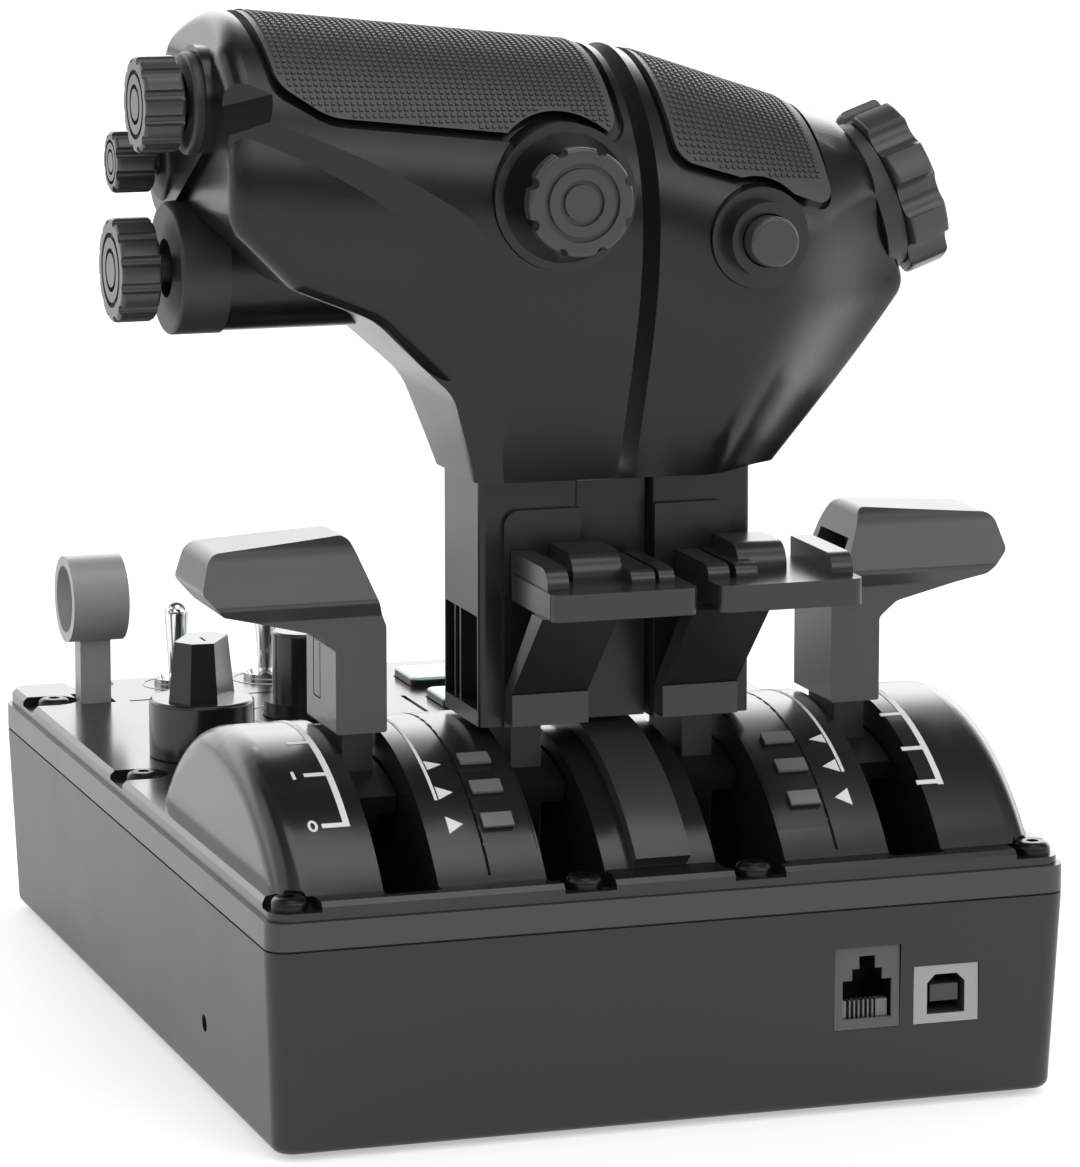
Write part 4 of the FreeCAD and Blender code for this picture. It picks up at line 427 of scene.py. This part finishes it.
def make_strip_seams():
    form = bmesh.new()
    for side in (-1, 1):
        edge = side * (strip_outer / MM + SEAM_SHIFT)
        drum_band(form, edge, SEAM_LINE, SEAM_START, SEAM_END, sink=SEAM_SINK, height=SEAM_HEIGHT)
    return finish_piece("strip_seams", form, gap_black, "base")


def make_panel_marks():
    form = bmesh.new()
    for node in ("toggle_left", "toggle_right"):
        place = middle(node)
        printed_ring(form, on_panel(place.x, place.y), TOGGLE_RING, TOGGLE_RING, TOGGLE_RING_LINE)
    place = middle("encoder_knob")
    printed_ring(form, on_panel(place.x, place.y), DIAL_RING, DIAL_RING, DIAL_RING_LINE)
    return finish_piece("panel_marks", form, print_white, "base")


make_drum_marks()
make_strip_seams()
make_panel_marks()


# Rubber points on the grip pads: four-sided, one pitch apart, and kept off the pad's edges

POINT_PITCH = 1.25
POINT_BASE = 0.86
POINT_FLARE = 1.414
POINT_RISE = 0.32
FIRST_ANGLE = 10
LAST_ANGLE = 260
ANGLE_STEP = 0.1
HUB_DROP = 4 * MM
LOOK_START = 0.08
LOOK_REACH = 0.07
LEAST_FACING = 0.4
EDGE_MARGIN = 0.9 * MM
EDGE_ANGLE = 1.8
LARGEST_STEP = 1.8 * MM


def look_in(tree, x, angle, hub):
    """The pad's outer surface as seen from outside at an angle round the grip, or None."""
    way = Vector((0, math.cos(math.radians(angle)), math.sin(math.radians(angle))))
    start = Vector((x, hub.y, hub.z)) + way * LOOK_START
    place, normal, _, _ = tree.ray_cast(start, -way, LOOK_REACH)
    if place is None or normal.dot(way) < LEAST_FACING:
        return None
    return place, normal


def pad_rows(tree, x, hub):
    """Angles round the grip at which points stand one pitch apart along the pad's surface."""
    angle = FIRST_ANGLE
    last = None
    angles = []
    while angle < LAST_ANGLE:
        hit = look_in(tree, x, angle, hub)
        if hit is not None and (last is None or (hit[0] - last).length >= POINT_PITCH * MM):
            last = hit[0]
            angles.append(angle)
        angle += ANGLE_STEP
    return angles


def inside_pad(tree, x, angle, hub, hit):
    """True where the pad goes on smoothly on all four sides."""
    for shift, turn in ((EDGE_MARGIN, 0), (-EDGE_MARGIN, 0), (0, EDGE_ANGLE), (0, -EDGE_ANGLE)):
        other = look_in(tree, x + shift, angle + turn, hub)
        if other is None or (other[0] - hit[0]).length > LARGEST_STEP:
            return False
    return True


def make_pad_points(node, body):
    tree = surface_of(node)
    low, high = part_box(node)
    hub = Vector((0, (low.y + high.y) / 2, low.z - HUB_DROP))
    angles = pad_rows(tree, (low.x + high.x) / 2, hub)
    quarter = Matrix.Rotation(math.radians(45), 4, "Z")
    base = POINT_BASE * MM / 2
    form = bmesh.new()
    for column in range(int((high.x - low.x) / (POINT_PITCH * MM))):
        x = low.x + (column + 0.5) * POINT_PITCH * MM
        for angle in angles:
            hit = look_in(tree, x, angle, hub)
            if hit is None or not inside_pad(tree, x, angle, hub, hit):
                continue
            turn = hit[1].to_track_quat("Z", "X").to_matrix().to_4x4()
            rise = min(POINT_RISE * MM, start_bounds[1].z - hit[0].z)
            bmesh.ops.create_cone(form, cap_ends=True, segments=4, radius1=base * POINT_FLARE, radius2=base,
                                  depth=rise * 2, matrix=Matrix.Translation(hit[0]) @ turn @ quarter)
    return finish_piece(node + "_points", form, MATERIALS["pad_rubber"], body)


make_pad_points("grip_pad_left", "throttle_left")
make_pad_points("grip_pad_right", "throttle_right")


# Right grip: its front drawn back towards the end and the foot

GRIP_EDGE = 58.0 * MM
GRIP_FOOT_EDGE = 34.0 * MM
GRIP_FLANK_HEIGHT = 32.0 * MM
END_TAPER = 0.58
DIAL_TAPER = 0.22
TAPER_START = 0.4
FACET_LENGTH = 3.0 * MM
FACET_ROUNDS = 4
GRIP_WELD = 0.002 * MM
FOOT_MARGIN = 0.1 * MM
SHARP_ANGLE = 28


def ease(value):
    value = min(1.0, max(0.0, value))
    return value * value * (3 - 2 * value)


def make_right_grip():
    form = bmesh.new()
    form.from_mesh(nodes["grip_right"].data)
    bmesh.ops.remove_doubles(form, verts=form.verts, dist=GRIP_WELD)
    for _ in range(FACET_ROUNDS):
        long = [edge for edge in form.edges if edge.calc_length() > FACET_LENGTH]
        bmesh.ops.subdivide_edges(form, edges=long, cuts=1)
        bmesh.ops.triangulate(form, faces=[face for face in form.faces if len(face.verts) > 3])
    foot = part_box("throttle_column_right")[1].z
    dial_low, dial_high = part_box("dial_hub")
    for vert in form.verts:
        x, y, z = vert.co
        if z < foot - FOOT_MARGIN or y > shaft.y:
            continue
        edge = GRIP_FOOT_EDGE + (GRIP_EDGE - GRIP_FOOT_EDGE) * min(1.0, (z - foot) / GRIP_FLANK_HEIGHT)
        beside_dial = ease((z - dial_low.z) / (dial_high.z - dial_low.z))
        taper = END_TAPER + (DIAL_TAPER - END_TAPER) * beside_dial
        vert.co.y += (shaft.y - y) * taper * ease((x / edge - TAPER_START) / (1 - TAPER_START))
    for edge in form.edges:
        edge.smooth = len(edge.link_faces) == 2 and edge.calc_face_angle() < math.radians(SHARP_ANGLE)
    for face in form.faces:
        face.smooth = True
    piece = finish_piece("right_grip_shell", form, MATERIALS["grip_black"], "throttle_right")
    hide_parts("grip_right")


make_right_grip()


# Toggles

TOGGLE_TIP_RADIUS = 2.6 * MM
TOGGLE_FOOT_RADIUS = 1.8 * MM
TOGGLE_DROP = 3.0 * MM
TOGGLE_FOOT_HEIGHT = 3.0 * MM
TOGGLE_WELD = 0.005 * MM
TOGGLE_STEPS = 32


def make_toggle(node):
    """A lathed lever that widens to a round tip."""
    low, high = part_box(node)
    x, y = (low.x + high.x) / 2, (low.y + high.y) / 2
    tip = high.z - TOGGLE_DROP - TOGGLE_TIP_RADIUS
    neck = panel_top + TOGGLE_FOOT_HEIGHT
    profile = [(0.0, low.z), (TOGGLE_FOOT_RADIUS, low.z), (TOGGLE_FOOT_RADIUS, neck)]
    for angle in range(0, 91, 10):
        across = TOGGLE_TIP_RADIUS * math.cos(math.radians(angle))
        profile.append((across, tip + TOGGLE_TIP_RADIUS * math.sin(math.radians(angle))))
    form = bmesh.new()
    verts = [form.verts.new((x + radius, y, z)) for radius, z in profile]
    edges = [form.edges.new(pair) for pair in zip(verts, verts[1:])]
    bmesh.ops.spin(form, geom=[*verts, *edges], cent=(x, y, 0), axis=(0, 0, 1), angle=2 * math.pi,
                   steps=TOGGLE_STEPS, use_merge=True)
    bmesh.ops.remove_doubles(form, verts=form.verts, dist=TOGGLE_WELD)
    for face in form.faces:
        face.smooth = True
    piece = finish_piece(node + "_lever", form, MATERIALS["chrome"], node)
    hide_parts(node)


make_toggle("toggle_left")
make_toggle("toggle_right")


# Small trim

BLOCK_BEVEL = 0.08 * MM
# The first and the pitch of the contacts and the two guides are shares of the network socket's width, and the
# floor and top are shares of its height.
CONTACT_FIRST = 0.25
CONTACT_PITCH = 0.07
CONTACT_GUIDES = ((0.12, 0.21), (0.66, 0.84))
CONTACT_FLOOR = 0.12
CONTACT_TOP = 0.34
CONTACT_COUNT = 6
CONTACT_WIDTH = 0.4 * MM
CONTACT_DEPTH = 2 * MM
CONTACT_SETBACK = 0.9 * MM
POINTER_REACH = 3.4 * MM
POINTER_TAIL = 0.5 * MM
POINTER_HALF_WIDTH = 0.3 * MM
POINTER_SINK = 0.3 * MM
POINTER_PROUD = 0.04 * MM
SLOT_FOOT = 5.0 * MM
SLOT_HEIGHT = 12.0 * MM
SLOT_HALF_WIDTH = 2.2 * MM
SLOT_HALF_LINE = 0.2 * MM
SLOT_SINK = 0.2 * MM
SLOT_PROUD = 0.04 * MM
OUTSIDE_LEFT = -0.2


def block(form, low, high):
    size = Matrix.Diagonal((high[0] - low[0], high[1] - low[1], high[2] - low[2], 1))
    place = Matrix.Translation([(a + b) / 2 for a, b in zip(low, high)])
    verts = bmesh.ops.create_cube(form, size=1, matrix=place @ size)["verts"]
    bmesh.ops.bevel(form, geom=list({edge for vert in verts for edge in vert.link_edges}), offset=BLOCK_BEVEL,
                    segments=1, profile=0.5, affect="EDGES", material=-1)


def make_network_contacts():
    """Six spring contacts and their guide blocks on the floor of the network socket."""
    low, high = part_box("network_socket")
    width, height = high.x - low.x, high.z - low.z
    front = low.y + CONTACT_SETBACK
    back = front + CONTACT_DEPTH
    floor, top = low.z + CONTACT_FLOOR * height, low.z + CONTACT_TOP * height
    form = bmesh.new()
    for start, end in CONTACT_GUIDES:
        block(form, (low.x + start * width, front, floor), (low.x + end * width, back, top))
    for k in range(CONTACT_COUNT):
        x = low.x + (CONTACT_FIRST + CONTACT_PITCH * k) * width
        block(form, (x, front, floor), (x + CONTACT_WIDTH, back, top))
    return finish_piece("network_contacts", form, contact_grey, "base")


def make_selector_line():
    """A groove line across the pointer's top."""
    low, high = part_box("selector_knob")
    x, y = (low.x + high.x) / 2, (low.y + high.y) / 2
    form = bmesh.new()
    block(form, (x - POINTER_HALF_WIDTH, y - POINTER_REACH, high.z - POINTER_SINK),
          (x + POINTER_HALF_WIDTH, y + POINTER_TAIL, high.z + POINTER_PROUD))
    return finish_piece("selector_line", form, gap_black, "selector_knob")


def make_handle_slot():
    """A thin U line on the outer face of the flaps handle's column."""
    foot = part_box("flaps_handle")[0].z + SLOT_FOOT
    face = surface_of("flaps_handle").ray_cast(Vector((OUTSIDE_LEFT, shaft.y, foot)), Vector((1, 0, 0)))[0]
    outer, inner = face.x - SLOT_PROUD, face.x + SLOT_SINK
    form = bmesh.new()
    for side in (-1, 1):
        y = shaft.y + side * SLOT_HALF_WIDTH
        block(form, (outer, y - SLOT_HALF_LINE, foot), (inner, y + SLOT_HALF_LINE, foot + SLOT_HEIGHT))
    block(form, (outer, shaft.y - SLOT_HALF_WIDTH, foot - SLOT_HALF_LINE),
          (inner, shaft.y + SLOT_HALF_WIDTH, foot + SLOT_HALF_LINE))
    return finish_piece("flaps_slot_line", form, gap_black, "flaps")


make_network_contacts()
make_selector_line()
make_handle_slot()


# Studio: levels of the light round the part, by degrees up from the horizon in front over the top to the back

SKY = ((0, 0.12), (14, 0.3), (26, 1.9), (38, 2.1), (50, 0.9), (66, 0.5), (85, 0.25), (100, 0.1), (122, 0.1),
       (140, 1.4), (150, 3.4), (160, 3.4), (170, 2.0), (180, 1.8))
SKY_TOP = max(level for _, level in SKY)
SKY_LEAN = (0.5, 1.5)
FLOOR_SIZE = 6
FLOOR_VALUE = 0.8
FLOOR_ROUGHNESS = 0.9
FLOOR_SPECULAR = 0.1
FLOOR_GLOW = 0.45
CAMERA_YAW = -18.13
CAMERA_PITCH = 10.21
CAMERA_DISTANCE = 1.115
CAMERA_TARGET = (0.0086, 0.0, 0.0843)
CAMERA_LENS = 170.6
SENSOR_WIDTH = 36.0
LIGHT_TARGET = (0, 0, 0.1)
LIGHT_POWER = 3
SOFT_LIGHTS = (("left soft", (-1.1, 0.2, 0.8), 0.9), ("top soft", (0.1, -0.3, 1.3), 0.7))


def aim(place, target):
    return (Vector(target) - Vector(place)).to_track_quat("-Z", "Y").to_euler()


def make_world():
    """White for the camera; for the object a bright band low behind it and a softer one low in front."""
    world = bpy.data.worlds.new("studio")
    scene.world = world
    world.use_nodes = True
    tree, links = world.node_tree.nodes, world.node_tree.links
    way = split_axes(tree, links, tree.new("ShaderNodeTexCoord").outputs["Generated"])
    ahead = calculate(tree, links, "MULTIPLY", way["Y"], -1.0)
    angle = calculate(tree, links, "ARCTAN2", way["Z"], ahead)
    ramp = tree.new("ShaderNodeValToRGB")
    while len(ramp.color_ramp.elements) < len(SKY):
        ramp.color_ramp.elements.new(0.5)
    for element, (degrees, level) in zip(ramp.color_ramp.elements, SKY):
        element.position = degrees / 180
        element.color = grey(level / SKY_TOP)
    links.new(map_range(tree, links, angle, 0.0, math.pi), ramp.inputs["Fac"])
    level = calculate(tree, links, "MULTIPLY", ramp.outputs["Color"], SKY_TOP)
    lean = map_range(tree, links, way["X"], -1.0, 1.0, *SKY_LEAN)
    strength = tree.new("ShaderNodeMix")
    links.new(tree.new("ShaderNodeLightPath").outputs["Is Camera Ray"], strength.inputs[0])
    links.new(calculate(tree, links, "MULTIPLY", level, lean), strength.inputs[2])
    strength.inputs[3].default_value = 1.0
    background = tree["Background"]
    background.inputs["Color"].default_value = grey(1)
    links.new(strength.outputs[0], background.inputs["Strength"])


def make_floor():
    """Keeps the shadow, and glows a little for the camera and in reflections."""
    mesh = bpy.data.meshes.new("floor")
    form = bmesh.new()
    bmesh.ops.create_grid(form, x_segments=1, y_segments=1, size=FLOOR_SIZE)
    form.to_mesh(mesh)
    form.free()
    floor = bpy.data.objects.new("floor", mesh)
    scene.collection.objects.link(floor)
    mat, tree, links, bsdf = new_material("floor")
    bsdf.inputs["Base Color"].default_value = grey(FLOOR_VALUE)
    bsdf.inputs["Roughness"].default_value = FLOOR_ROUGHNESS
    bsdf.inputs["Specular IOR Level"].default_value = FLOOR_SPECULAR
    bsdf.inputs["Emission Color"].default_value = grey(1)
    path = tree.new("ShaderNodeLightPath").outputs
    seen = calculate(tree, links, "ADD", path["Is Camera Ray"], path["Is Glossy Ray"])
    links.new(calculate(tree, links, "MULTIPLY", seen, FLOOR_GLOW), bsdf.inputs["Emission Strength"])
    mesh.materials.append(mat)


def make_camera():
    yaw, pitch = math.radians(CAMERA_YAW), math.radians(CAMERA_PITCH)
    back = Vector((math.sin(yaw) * math.cos(pitch), -math.cos(yaw) * math.cos(pitch), math.sin(pitch)))
    data = bpy.data.cameras.new("camera")
    data.sensor_width = SENSOR_WIDTH
    data.lens = CAMERA_LENS
    camera = bpy.data.objects.new("camera", data)
    scene.collection.objects.link(camera)
    camera.location = Vector(CAMERA_TARGET) + back * CAMERA_DISTANCE
    camera.rotation_euler = aim(camera.location, CAMERA_TARGET)
    bpy.context.scene.camera = camera


def make_light(name, place, width):
    data = bpy.data.lights.new(name, "AREA")
    data.shape = "SQUARE"
    data.size = width
    data.energy = LIGHT_POWER
    light = bpy.data.objects.new(name, data)
    scene.collection.objects.link(light)
    light.location = place
    light.rotation_euler = aim(place, LIGHT_TARGET)


make_world()
make_floor()
make_camera()
for light_name, light_place, light_width in SOFT_LIGHTS:
    make_light(light_name, light_place, light_width)
scene.view_settings.view_transform = "Standard"
